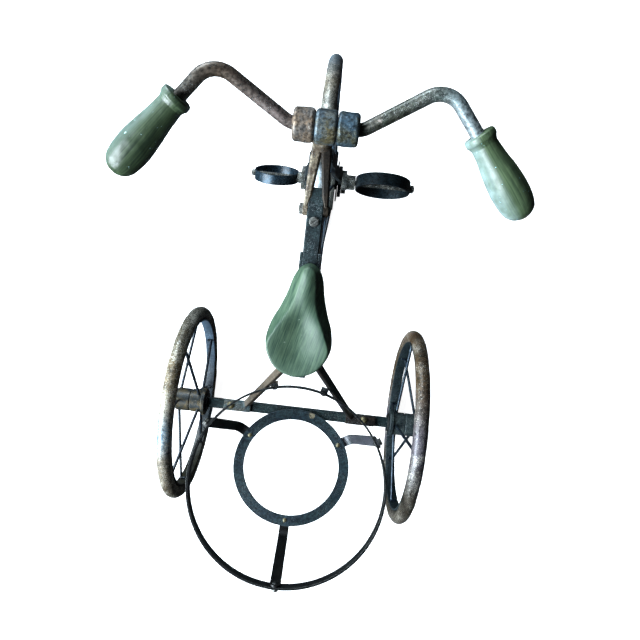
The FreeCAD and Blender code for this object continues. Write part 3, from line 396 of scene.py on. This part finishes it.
def pot_stand_materials():
    strap_end = box_point("strap_right", 0.97, 0.5, 0.5)
    worn_mark = box_point("pot_ring", 0.63, 0.965, 1.0)
    return {
        "beam": aged_metal(
            "teal_beam", (0.005, 0.013, 0.014), (0.011, 0.028, 0.030), (0.05, 0.09, 0.10), patch=60,
            wear=0.4, speckle=0.4),
        "hoop": aged_metal(
            "black_hoop", (0.005, 0.006, 0.007), (0.010, 0.012, 0.013), (0.26, 0.27, 0.24), patch=60,
            wear=0.35, speckle=0.15, rough=(0.25, 0.42)),
        "strap": aged_metal(
            "black_strap", (0.004, 0.004, 0.005), (0.010, 0.010, 0.009), (0.05, 0.045, 0.035), patch=60,
            wear=0.3, speckle=0.1, rough=(0.3, 0.5)),
        "strap_right": aged_metal(
            "violet_strap", (0.030, 0.036, 0.042), (0.055, 0.055, 0.070), (0.16, 0.18, 0.20), patch=60,
            wear=0.6, speckle=0.6, spots=[(strap_end, 9 * MM, BLACK_IRON)]),
        "ring": aged_metal(
            "navy_ring", (0.009, 0.021, 0.031), (0.019, 0.038, 0.046), (0.10, 0.15, 0.19), patch=50,
            wear=0.35, speckle=0.4, spots=[(worn_mark, 6 * MM, (0.24, 0.21, 0.14))]),
    }


def frame_materials():
    left_tab = box_point("hoop_strut_rivets", 0.02, 0.5, 0.5)
    right_tab = box_point("hoop_strut_rivets", 0.98, 0.5, 0.5)
    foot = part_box("strut_left")[0].z
    return {
        "strut_left": aged_metal(
            "tan_strut", (0.15, 0.115, 0.08), (0.06, 0.05, 0.04), CREAM,
            spots=[(left_tab, TAB_RADIUS, BLACK_IRON)],
            zones=("Z", foot, foot + STRUT_FOOT_HEIGHT, STRUT_FOOT_ZONES)),
        "strut_right": aged_metal(
            "dark_strut", (0.022, 0.015, 0.011), (0.006, 0.006, 0.006), (0.13, 0.10, 0.08), wear=0.4,
            spots=[(right_tab, TAB_RADIUS, BLACK_IRON)]),
        "neck_left": aged_metal(
            "cream_neck", (0.23, 0.19, 0.13), (0.08, 0.055, 0.035), (0.62, 0.57, 0.47), wear=0.7,
            patch=90, metallic=0.15),
        "neck_right": aged_metal(
            "brown_neck", (0.012, 0.009, 0.006), (0.026, 0.018, 0.011), (0.06, 0.05, 0.035), wear=0.4,
            speckle=0.1, metallic=0.6, rough=(0.4, 0.6)),
        "backbone": aged_metal(
            "teal_backbone", (0.010, 0.018, 0.021), (0.022, 0.040, 0.044), (0.09, 0.14, 0.16), patch=80,
            wear=0.4, speckle=1.0, pale=(0.34, 0.40, 0.42)),
    }


def steering_materials():
    low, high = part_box("handlebar")
    return {
        "bar": aged_metal(
            "brown_bar", (0.09, 0.075, 0.06), (0.04, 0.038, 0.028), (0.36, 0.30, 0.27), patch=50,
            wear=0.6, speckle=0.8, rough=(0.28, 0.48), metallic=0.45,
            zones=("X", low.x, high.x, BAR_TINTS_AND_HIGHLIGHT)),
        "knuckle_left": aged_metal(
            "rusty_knuckle", (0.20, 0.145, 0.10), (0.12, 0.11, 0.10), (0.66, 0.62, 0.55), patch=65,
            wear=0.8, speckle=0.4),
        "knuckle_middle": aged_metal(
            "olive_knuckle", (0.09, 0.075, 0.035), (0.07, 0.105, 0.13), (0.40, 0.47, 0.50), patch=60,
            wear=0.6, speckle=0.4),
        "knuckle_right": aged_metal(
            "blue_knuckle", (0.045, 0.045, 0.025), (0.04, 0.075, 0.105), (0.30, 0.42, 0.50), patch=60,
            wear=0.6, speckle=0.3),
        "fork": aged_metal("dark_fork", BLACK_IRON, TEAL_BLACK, (0.16, 0.17, 0.16)),
    }


def drive_materials():
    return {
        "pedal_left": aged_metal(
            "blue_pedal", (0.006, 0.014, 0.022), (0.012, 0.032, 0.050), (0.04, 0.10, 0.16), speckle=0.2,
            rough=(0.22, 0.4), metallic=0.5),
        "pedal_right": aged_metal(
            "black_pedal", (0.006, 0.010, 0.012), (0.010, 0.020, 0.026), (0.04, 0.08, 0.11), wear=0.4,
            speckle=0.2, rough=(0.24, 0.42), metallic=0.5),
        "drive": aged_metal(
            "grey_drive", (0.022, 0.027, 0.026), (0.075, 0.072, 0.055), (0.3, 0.31, 0.28), patch=120,
            wear=0.6, crust=0.2),
        "washer": aged_metal(
            "dark_washer", (0.010, 0.013, 0.012), (0.03, 0.032, 0.026), (0.12, 0.12, 0.10), patch=120),
    }


def bolt_materials():
    return {
        "bolt": aged_metal(
            "dull_bolt", (0.17, 0.175, 0.16), (0.07, 0.07, 0.065), (0.5, 0.5, 0.46), patch=200,
            metallic=0.5),
        "dark_bolt": aged_metal(
            "black_bolt", (0.03, 0.034, 0.034), (0.012, 0.014, 0.014), (0.25, 0.26, 0.25), patch=200,
            metallic=0.5),
        "brass_bolt": aged_metal(
            "brassy_bolt", (0.24, 0.20, 0.10), (0.10, 0.09, 0.05), (0.6, 0.55, 0.35), patch=200,
            wear=0.6, metallic=0.7),
    }


def seat_streaks(shader):
    return shader.turned_and_stretched(math.radians(-14), (1.0, 0.04, 0.1))


def grip_streaks(shader):
    return shader.drawn_streaks(0.06)


def wood_materials():
    return {
        "seat": painted_wood(
            "sage_seat", (0.074, 0.128, 0.074), (0.018, 0.046, 0.030), (0.45, 0.55, 0.45),
            seat_streaks, 1000.0, chips=0.0, rough=0.46),
        # Each grip's last argument paints a pale sheen on the flank that faces left: a painted highlight
        "grip_left": painted_wood(
            "olive_grip", (0.050, 0.080, 0.036), (0.016, 0.030, 0.016), (0.55, 0.85, 0.85),
            grip_streaks, 70.0, chips=1.0, rough=0.34, sheen_and_end_chips=((0.30, 0.42, 0.40), 0.45)),
        # The right grip: a lighter copy of the left grip's paint with a stronger pale flank, painted sheen where
        # it catches the light
        "grip_right": painted_wood(
            "pale_sheen_grip", (0.075, 0.115, 0.055), (0.030, 0.050, 0.026), (0.40, 0.85, 0.95),
            grip_streaks, 70.0, chips=1.0, rough=0.34, sheen_and_end_chips=((0.38, 0.50, 0.50), 0.6)),
    }


MATERIALS = {
    **wheel_materials(),
    **pot_stand_materials(),
    **frame_materials(),
    **steering_materials(),
    **drive_materials(),
    **bolt_materials(),
    **wood_materials(),
}

MATERIAL_OF = {
    "tyre_left": ["rear_tyre_left"],
    "tyre_right": ["rear_tyre_right"],
    "tyre_front": ["front_tyre"],
    "rim_left": ["rear_rim_left", "front_rim"],
    "rim_right": ["rear_rim_right"],
    "spoke": ["front_spokes", "rear_spokes_left"],
    "lit_spoke": ["rear_spokes_right"],
    "hub_left": ["rear_hub_left"],
    "hub_right": ["rear_hub_right"],
    "beam": ["axle_beam"],
    "hoop": ["pot_hoop"],
    "strap": ["strap_left", "strap_rear"],
    "strap_right": ["strap_right"],
    "ring": ["pot_ring"],
    "strut_left": ["strut_left"],
    "strut_right": ["strut_right"],
    "bar": ["handlebar"],
    "knuckle_left": ["collar_left"],
    "knuckle_middle": ["stem_sleeve"],
    "knuckle_right": ["collar_right"],
    "neck_left": ["neck_plate_left", "head_tube"],
    "neck_right": ["neck_plate_right"],
    "fork": ["fork_blade_left", "fork_blade_right", "fork_crown", "steerer", "steering_washer"],
    "pedal_left": ["pedal_ring_left"],
    "pedal_right": ["pedal_ring_right"],
    "drive": ["front_axle", "crank_left", "crank_right", "pedal_spindles", "pedal_nuts", "crank_nuts"],
    "washer": ["front_hub", "front_hub_washers"],
    "bolt": ["strut_foot_nuts", "cross_bolts", "cross_bolt_nuts", "hoop_nuts", "seat_screws",
             "backbone_screw", "crown_rivet", "collar_screws"],
    "dark_bolt": ["rear_axle_nuts", "rear_axle_washers", "hoop_bolts", "hoop_strut_rivets"],
    "brass_bolt": ["ring_rivets", "strut_foot_bolts"],
    "backbone": ["backbone", "seat_bracket"],
    "seat": ["seat"],
    "grip_left": ["grip_left"],
    "grip_right": ["grip_right"],
}


def dress(thing, key):
    thing.data.materials.clear()
    thing.data.materials.append(MATERIALS[key])


def dress_nodes():
    for key, names in MATERIAL_OF.items():
        for name in names:
            dress(NODES[name], key)


dress_nodes()


def material_key_of(node):
    return next(key for key, names in MATERIAL_OF.items() if node in names)


# Building pieces

WELD_DISTANCE = 1e-6
BODY_OF = {node: body for body, nodes in frame["record"]["behaviour"]["bodies"].items() for node in nodes}


def stand_for(mesh, node):
    """Puts a finished mesh in the place of one CAD node."""
    for face in mesh.polygons:
        face.use_smooth = True
    piece = bpy.data.objects.new(node + "_worn", mesh)
    bpy.context.scene.collection.objects.link(piece)
    dress(piece, material_key_of(node))
    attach(piece, BODY_OF[node])
    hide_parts(node)


def weather(bm, depth, scale, seed, flat_axis=None):
    """Dents a surface inward along its normals, by up to depth. Faces across flat_axis stay flat."""
    bm.normal_update()
    offset = Vector((seed * 7.3, seed * 1.9, seed * 4.1))
    for vertex in bm.verts:
        lump = noise.fractal(vertex.co * scale + offset, 0.6, 2.1, 4)
        share = 1.0 if flat_axis is None else 1 - abs(vertex.normal.dot(flat_axis))
        vertex.co -= vertex.normal * share * depth * min(max(0.5 + 0.9 * lump, 0.0), 1.0)


def mesh_from_rings(rings, closed_rows):
    """A mesh through equal rings of points, and on to the first one again if closed_rows says so.

    Points that meet are welded. Drawn coordinates run round each ring, then from ring to ring."""
    bm = bmesh.new()
    uv = bm.loops.layers.uv.new("drawn")
    rows = [[bm.verts.new(point) for point in ring] for ring in rings]
    count = len(rows[0])
    last_row = len(rows) if closed_rows else len(rows) - 1
    for i in range(last_row):
        low = rows[i]
        high = rows[(i + 1) % len(rows)]
        for j in range(count):
            k = (j + 1) % count
            face = bm.faces.new((low[j], low[k], high[k], high[j]))
            corners = ((j, i), (j + 1, i), (j + 1, i + 1), (j, i + 1))
            for loop, (across, up) in zip(face.loops, corners):
                loop[uv].uv = (across / count, up / len(rows))
    bmesh.ops.remove_doubles(bm, verts=bm.verts, dist=WELD_DISTANCE)
    bmesh.ops.recalc_face_normals(bm, faces=bm.faces)
    return bm


def to_mesh(bm, name):
    mesh = bpy.data.meshes.new(name)
    bm.to_mesh(mesh)
    bm.free()
    return mesh


def turned(section, centre, axis, steps, closed=True):
    """A surface turned about an axis from a section of (radius, distance along the axis) points.

    Its drawn coordinates run once round from the side that faces right, so 0.5 faces left."""
    turn = Z_AXIS.rotation_difference(axis).to_matrix()
    left = turn.inverted() @ -X_AXIS
    back = math.atan2(left.y, left.x) + math.pi
    rings = []
    for radius, along in section:
        ring = []
        for k in range(steps):
            angle = back + 2 * math.pi * k / steps
            point = Vector((radius * math.cos(angle), radius * math.sin(angle), along))
            ring.append(centre + turn @ point)
        rings.append(ring)
    return mesh_from_rings(rings, closed)


def rounded_section(inner, outer, low, high, radius, steps=4):
    """The section of a turned band: a rectangle with round corners."""
    corners = [(outer - radius, high - radius, 0), (inner + radius, high - radius, 90),
               (inner + radius, low + radius, 180), (outer - radius, low + radius, 270)]
    section = []
    for r, x, start in corners:
        for k in range(steps + 1):
            angle = math.radians(start + 90 * k / steps)
            section.append((r + radius * math.cos(angle), x + radius * math.sin(angle)))
    return section


def between(first, second, share):
    return first + (second - first) * share


def refined(points, step):
    """The same closed run of points, with more of them on the long sides."""
    made = []
    for first, second in zip(points, points[1:] + points[:1]):
        count = max(int(math.dist(first, second) / step), 1)
        for k in range(count):
            share = k / count
            made.append((between(first[0], second[0], share), between(first[1], second[1], share)))
    return made


def curve_point(corners, share):
    """A point of the Catmull-Rom curve through four points, between the second and the third."""
    a, b, c, d = corners
    return 0.5 * ((2 * b) + (c - a) * share + (2 * a - 5 * b + 4 * c - d) * share ** 2
                  + (3 * b - a - 3 * c + d) * share ** 3)


def middle_and_size(node):
    low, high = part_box(node)
    return (low + high) / 2, high - low


def fit_into_box(bm, node):
    """Moves the mesh to the middle of a CAD node's box, and shrinks any side that would stand out."""
    low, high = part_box(node)
    points = [vertex.co for vertex in bm.verts]
    own_low = Vector([min(p[i] for p in points) for i in range(3)])
    own_high = Vector([max(p[i] for p in points) for i in range(3)])
    middle = (own_low + own_high) / 2
    for vertex in bm.verts:
        for i in range(3):
            share = min((high[i] - low[i]) / (own_high[i] - own_low[i]), 1.0)
            vertex.co[i] = (low[i] + high[i]) / 2 + (vertex.co[i] - middle[i]) * share


# Wheels. Dents are (depth, scale), here and below

RIM_THICKNESS = 2.5 * MM
RIM_CORNER = 0.8 * MM
TYRE_SECTION_STEPS = 44
TYRE_STEPS = 360
RIM_STEPS = 240
TYRE_DENTS = (0.45 * MM, 60.0)
RIM_DENTS = (0.12 * MM, 120.0)


def build_tyre(node, bed, seed):
    """A dented tyre that beds on its rim."""
    centre, size = middle_and_size(node)
    tube = size.x / 2
    ring_radius = size.z / 2 - tube
    section = []
    for k in range(TYRE_SECTION_STEPS):
        angle = 2 * math.pi * k / TYRE_SECTION_STEPS
        section.append((max(ring_radius + tube * math.cos(angle), bed), tube * math.sin(angle)))
    bm = turned(section, centre, X_AXIS, TYRE_STEPS)
    weather(bm, *TYRE_DENTS, seed)
    stand_for(to_mesh(bm, node), node)


def build_rim(node, bed, centre, half, seed):
    """The rim band, with rounded edges."""
    section = rounded_section(bed - RIM_THICKNESS, bed, -half, half, RIM_CORNER)
    bm = turned(section, centre, X_AXIS, RIM_STEPS)
    weather(bm, *RIM_DENTS, seed)
    stand_for(to_mesh(bm, node), node)


def build_wheel(tyre, rim, seed):
    rim_size = middle_and_size(rim)[1]
    bed = rim_size.z / 2
    build_tyre(tyre, bed, seed)
    build_rim(rim, bed, middle_and_size(tyre)[0], rim_size.x / 2, seed + 1)


def build_wheels():
    build_wheel("rear_tyre_left", "rear_rim_left", seed=1)
    build_wheel("rear_tyre_right", "rear_rim_right", seed=3)
    build_wheel("front_tyre", "front_rim", seed=5)


# Collars on the handlebar: worn barrels with narrow creases between them and the sleeve

COLLAR_BORE_RADIUS = 6.0 * MM
COLLAR_CORNER = 3.8 * MM
COLLAR_MESH_STEP = 0.7 * MM
COLLAR_STEPS = 160
COLLAR_DENTS = (0.7 * MM, 70.0)
FIRST_COLLAR_SEED = 11


def build_collars():
    for seed, node in enumerate(("collar_left", "collar_right"), start=FIRST_COLLAR_SEED):
        centre, size = middle_and_size(node)
        radius = size.y / 2
        half = size.x / 2
        centre.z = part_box(node)[1].z - radius
        section = rounded_section(COLLAR_BORE_RADIUS, radius, -half, half, COLLAR_CORNER, steps=10)
        bm = turned(refined(section, COLLAR_MESH_STEP), centre, X_AXIS, COLLAR_STEPS)
        weather(bm, *COLLAR_DENTS, seed, X_AXIS)
        stand_for(to_mesh(bm, node), node)


# Grips: turned wood with a collar, a thin neck and a full belly, worn by hands. In millimetres

GRIP_DIRECTION = Vector((55.5, -61.5, -25.0))
GRIP_BORE_RADIUS = 6.0
GRIP_REACH = 88.0
GRIP_LENGTH = {"grip_left": 88.0, "grip_right": 83.0}
# The profile's points: radius, then distance along the grip
GRIP_PROFILE = [(12.2, 0), (13.3, 0.9), (13.7, 2.6), (13.7, 5.4), (12.6, 7.4), (11.9, 9.6), (11.7, 12),
                (12.8, 26), (14.9, 42), (16.3, 58), (15.4, 73), (13.4, 80), (10.5, 84), (6.0, 87), (0.05, 88)]
# A shorter grip loses its length between these two places
SHORTENED_FROM = 12.0
SHORTENED_TO = 42.0
GRIP_PROFILE_STEPS = 150
GRIP_STEPS = 120
GRIP_DENTS = (0.25 * MM, 110.0)
FIRST_GRIP_SEED = 31


def smooth_profile(points, count):
    """Points along a smooth curve through an open profile."""
    made = []
    last = len(points) - 1
    for i in range(count + 1):
        place = i / count * last
        k = min(int(place), last - 1)
        corners = [Vector(points[min(max(k + j, 0), last)]) for j in (-1, 0, 1, 2)]
        made.append(curve_point(corners, place - k))
    return made


def grip_section(node):
    """The grip's (radius, distance) section in metres, from its bore round to its far end."""
    short = GRIP_REACH - GRIP_LENGTH[node]
    section = []
    for point in [Vector((GRIP_BORE_RADIUS, 0))] + smooth_profile(GRIP_PROFILE, GRIP_PROFILE_STEPS):
        share = (point.y - SHORTENED_FROM) / (SHORTENED_TO - SHORTENED_FROM)
        along = point.y - short * min(max(share, 0.0), 1.0)
        section.append((point.x * MM, along * MM))
    return section


def build_grips():
    for seed, (sign, node) in enumerate(((-1, "grip_left"), (1, "grip_right")), start=FIRST_GRIP_SEED):
        direction = Vector((sign * GRIP_DIRECTION.x, GRIP_DIRECTION.y, GRIP_DIRECTION.z)).normalized()
        bm = turned(grip_section(node), Vector(), direction, GRIP_STEPS, closed=False)
        weather(bm, *GRIP_DENTS, seed)
        fit_into_box(bm, node)
        stand_for(to_mesh(bm, node), node)


# Seat, in millimetres until it is turned into place. s runs from its back to its nose

SEAT_SLOPE = math.atan2(39.0, 187.0)
SEAT_TURN = math.radians(-2.8)
SEAT_BASE = [(0, 0), (4, 16.8), (14, 27.4), (31, 33.5), (50, 30.8),
             (67, 23.9), (84, 18.4), (99, 14.8), (109, 9.5), (114, 0)]
SEAT_TOP = [(2, 0), (5.5, 14.6), (14.5, 25), (30, 31.3), (46, 25.6),
            (62, 18), (78, 12.3), (94, 9.8), (107, 6.8), (111.5, 0)]
SEAT_MIDDLE = 57.0
SEAT_SPINE = (30.0, 98.0)
SEAT_DENTS = (0.25, 0.03)
SEAT_SEED = 21
OUTLINE_STEPS = 320

# Heights, and how deep the dish is and how much the nose is crowned
TOP_HEIGHT = 22.6
FOOT_HEIGHT = 5.0
DISH_DEPTH = 5.0
NOSE_CROWN = 2.2

# The share by which the foot draws in at the bottom, and where the dish turns into the nose
FOOT_DRAWN_IN = 0.02
NOSE_START = 46.0
NOSE_RUN = 34.0

# How the top edge rolls over, in the dish and along the nose
EDGE_WIDTH = (2.4, 5.0)
EDGE_RISE = (2.2, 4.8)
EDGE_END = (math.radians(88), math.radians(64))

# Rows of faces up the foot, up the sides, over the edge and across the top
FOOT_ROWS = 8
SIDE_ROWS = 24
EDGE_ROWS = 12
TOP_ROWS = 60
SIDE_FLARE = 0.85
TOP_SPACING = 1.1


def smooth_outline(half_widths, count):
    """A closed smooth curve (x, s) through a teardrop's half widths, in count points."""
    right = [Vector((w, s)) for s, w in half_widths]
    points = right + [Vector((-p.x, p.y)) for p in reversed(right[1:-1])]
    n = len(points)
    curve = []
    for i in range(count):
        place = i / count * n
        k = int(place)
        curve.append(curve_point([points[(k + j) % n] for j in (-1, 0, 1, 2)], place - k))
    return curve


def nose_share(s):
    """0 in the seat's dish, 1 along its nose."""
    share = min(max((s - NOSE_START) / NOSE_RUN, 0.0), 1.0)
    return share * share * (3 - 2 * share)


def edge_roll(s):
    """How the top edge rolls over at s: its width, its rise, the angle it ends at and where it starts."""
    nose = nose_share(s)
    width = between(*EDGE_WIDTH, nose)
    rise = between(*EDGE_RISE, nose)
    end = between(*EDGE_END, nose)
    start_z = TOP_HEIGHT - NOSE_CROWN * nose - rise * math.sin(end)
    return width, rise, end, start_z


def seat_top_height(s, inset):
    """Height of the seat's top: a dish at the back, a crown along the nose."""
    nose = nose_share(s)
    bowl = inset * inset * (3 - 2 * inset)
    crown = 1 - math.sin(inset * math.pi / 2)
    return TOP_HEIGHT - DISH_DEPTH * bowl * (1 - nose) - NOSE_CROWN * nose * crown


def spine_place(s):
    return min(max(s, SEAT_SPINE[0]), SEAT_SPINE[1])


def toward_spine(point):
    return (Vector((0, spine_place(point.y), 0)) - Vector((point.x, point.y, 0))).normalized()


def foot_rings(base):
    rings = []
    for k in range(FOOT_ROWS + 1):
        share = k / FOOT_ROWS
        size = 1 - FOOT_DRAWN_IN * (1 - share) ** 2
        ring = []
        for b in base:
            s = SEAT_MIDDLE + (b.y - SEAT_MIDDLE) * size
            ring.append(Vector((b.x * size, s, FOOT_HEIGHT * share)))
        rings.append(ring)
    return rings


def side_rings(base, top):
    """The sides lean in from the base's outline to the top's."""
    rings = []
    for k in range(1, SIDE_ROWS + 1):
        share = k / SIDE_ROWS
        flare = share ** SIDE_FLARE
        ring = []
        for b, t in zip(base, top):
            start_z = edge_roll(t.y)[3]
            height = between(FOOT_HEIGHT, start_z, share)
            ring.append(Vector((between(b.x, t.x, flare), between(b.y, t.y, flare), height)))
        rings.append(ring)
    return rings


def edge_rings(top):
    rings = []
    for k in range(1, EDGE_ROWS + 1):
        ring = []
        for t in top:
            width, rise, end, start_z = edge_roll(t.y)
            angle = end * k / EDGE_ROWS
            point = Vector((t.x, t.y, start_z + rise * math.sin(angle)))
            ring.append(point + toward_spine(t) * width * (1 - math.cos(angle)))
        rings.append(ring)
    return rings


def top_rings(top):
    """The top closes on a line along the seat's middle, its spine."""
    rings = []
    for k in range(1, TOP_ROWS + 1):
        share = (k / TOP_ROWS) ** TOP_SPACING
        ring = []
        for t in top:
            width, rise, end, start_z = edge_roll(t.y)
            rim = Vector((t.x, t.y, 0)) + toward_spine(t) * width * (1 - math.cos(end))
            point = rim.lerp(Vector((0, spine_place(t.y), 0)), share)
            point.z = seat_top_height(point.y, share)
            ring.append(point)
        rings.append(ring)
    return rings


def cap_seat_bottom(bm):
    """Closes the first ring, which holds the first vertices."""
    bm.verts.ensure_lookup_table()
    bm.faces.new([bm.verts[k] for k in range(OUTLINE_STEPS)])
    bmesh.ops.recalc_face_normals(bm, faces=bm.faces)


def build_seat():
    base = smooth_outline(SEAT_BASE, OUTLINE_STEPS)
    top = smooth_outline(SEAT_TOP, OUTLINE_STEPS)
    rings = foot_rings(base) + side_rings(base, top) + edge_rings(top) + top_rings(top)
    bm = mesh_from_rings(rings, False)
    cap_seat_bottom(bm)
    weather(bm, *SEAT_DENTS, SEAT_SEED)
    turn = Matrix.Rotation(SEAT_SLOPE, 3, "X") @ Matrix.Rotation(SEAT_TURN, 3, "Z")
    for vertex in bm.verts:
        vertex.co = turn @ (vertex.co * MM)
    fit_into_box(bm, "seat")
    stand_for(to_mesh(bm, "seat"), "seat")


build_wheels()
build_collars()
build_grips()
build_seat()


# Stage: white floor, cool window light from the left, weak fill

LIGHTS_AIM_AT = Vector((0, 0, 0.15))
# The floor's (radius, height) section, out to the walls that it curves up into
FLOOR_SECTION = ((0.0, 0.0), (6.0, 0.0), (7.0, 0.4), (7.6, 1.4), (8.0, 9.0))
FLOOR_STEPS = 96
FLOOR_GLOW = 0.95
WORLD_GLOW = 0.03


def aim(thing, target):
    thing.rotation_euler = (target - thing.location).to_track_quat("-Z", "Y").to_euler()


def add_area_light(name, place, size, power, colour):
    data = bpy.data.lights.new(name, "AREA")
    data.shape = "RECTANGLE"
    data.size, data.size_y = size
    data.energy = power
    data.color = colour
    light = bpy.data.objects.new(name, data)
    light.location = place
    aim(light, LIGHTS_AIM_AT)
    bpy.context.scene.collection.objects.link(light)


def floor_surface():
    turns = [2 * math.pi * k / FLOOR_STEPS for k in range(FLOOR_STEPS)]
    rings = []
    for radius, height in FLOOR_SECTION:
        rings.append([Vector((radius * math.cos(turn), radius * math.sin(turn), height)) for turn in turns])
    return mesh_from_rings(rings, False)


def add_floor():
    """A white floor that curves up into walls. It shows to the camera but sends no light onto the object."""
    mesh = to_mesh(floor_surface(), "floor")
    floor = bpy.data.objects.new("floor", mesh)
    bpy.context.scene.collection.objects.link(floor)
    floor.visible_diffuse = False
    floor.visible_glossy = False
    s = Shader("white_floor")
    s.set(Base_Color=(0.8, 0.8, 0.8), Roughness=0.9)
    s.set(Emission_Color=(1.0, 1.0, 1.0), Emission_Strength=FLOOR_GLOW)
    mesh.materials.append(s.material)


def add_stage():
    add_floor()
    add_area_light(
        "window", place=(-2.7, -1.3, 1.75), size=(3.2, 2.0), power=560.0, colour=(0.80, 0.91, 1.0))
    add_area_light(
        "softbox", place=(-1.3, 2.0, 1.3), size=(1.4, 1.0), power=90.0, colour=(0.78, 0.90, 1.0))
    world = bpy.data.worlds.new("studio")
    world.use_nodes = True
    background = world.node_tree.nodes["Background"]
    background.inputs["Color"].default_value = (0.85, 0.93, 1.0, 1.0)
    background.inputs["Strength"].default_value = WORLD_GLOW
    bpy.context.scene.world = world
    bpy.context.scene.view_settings.view_transform = "Standard"


add_stage()
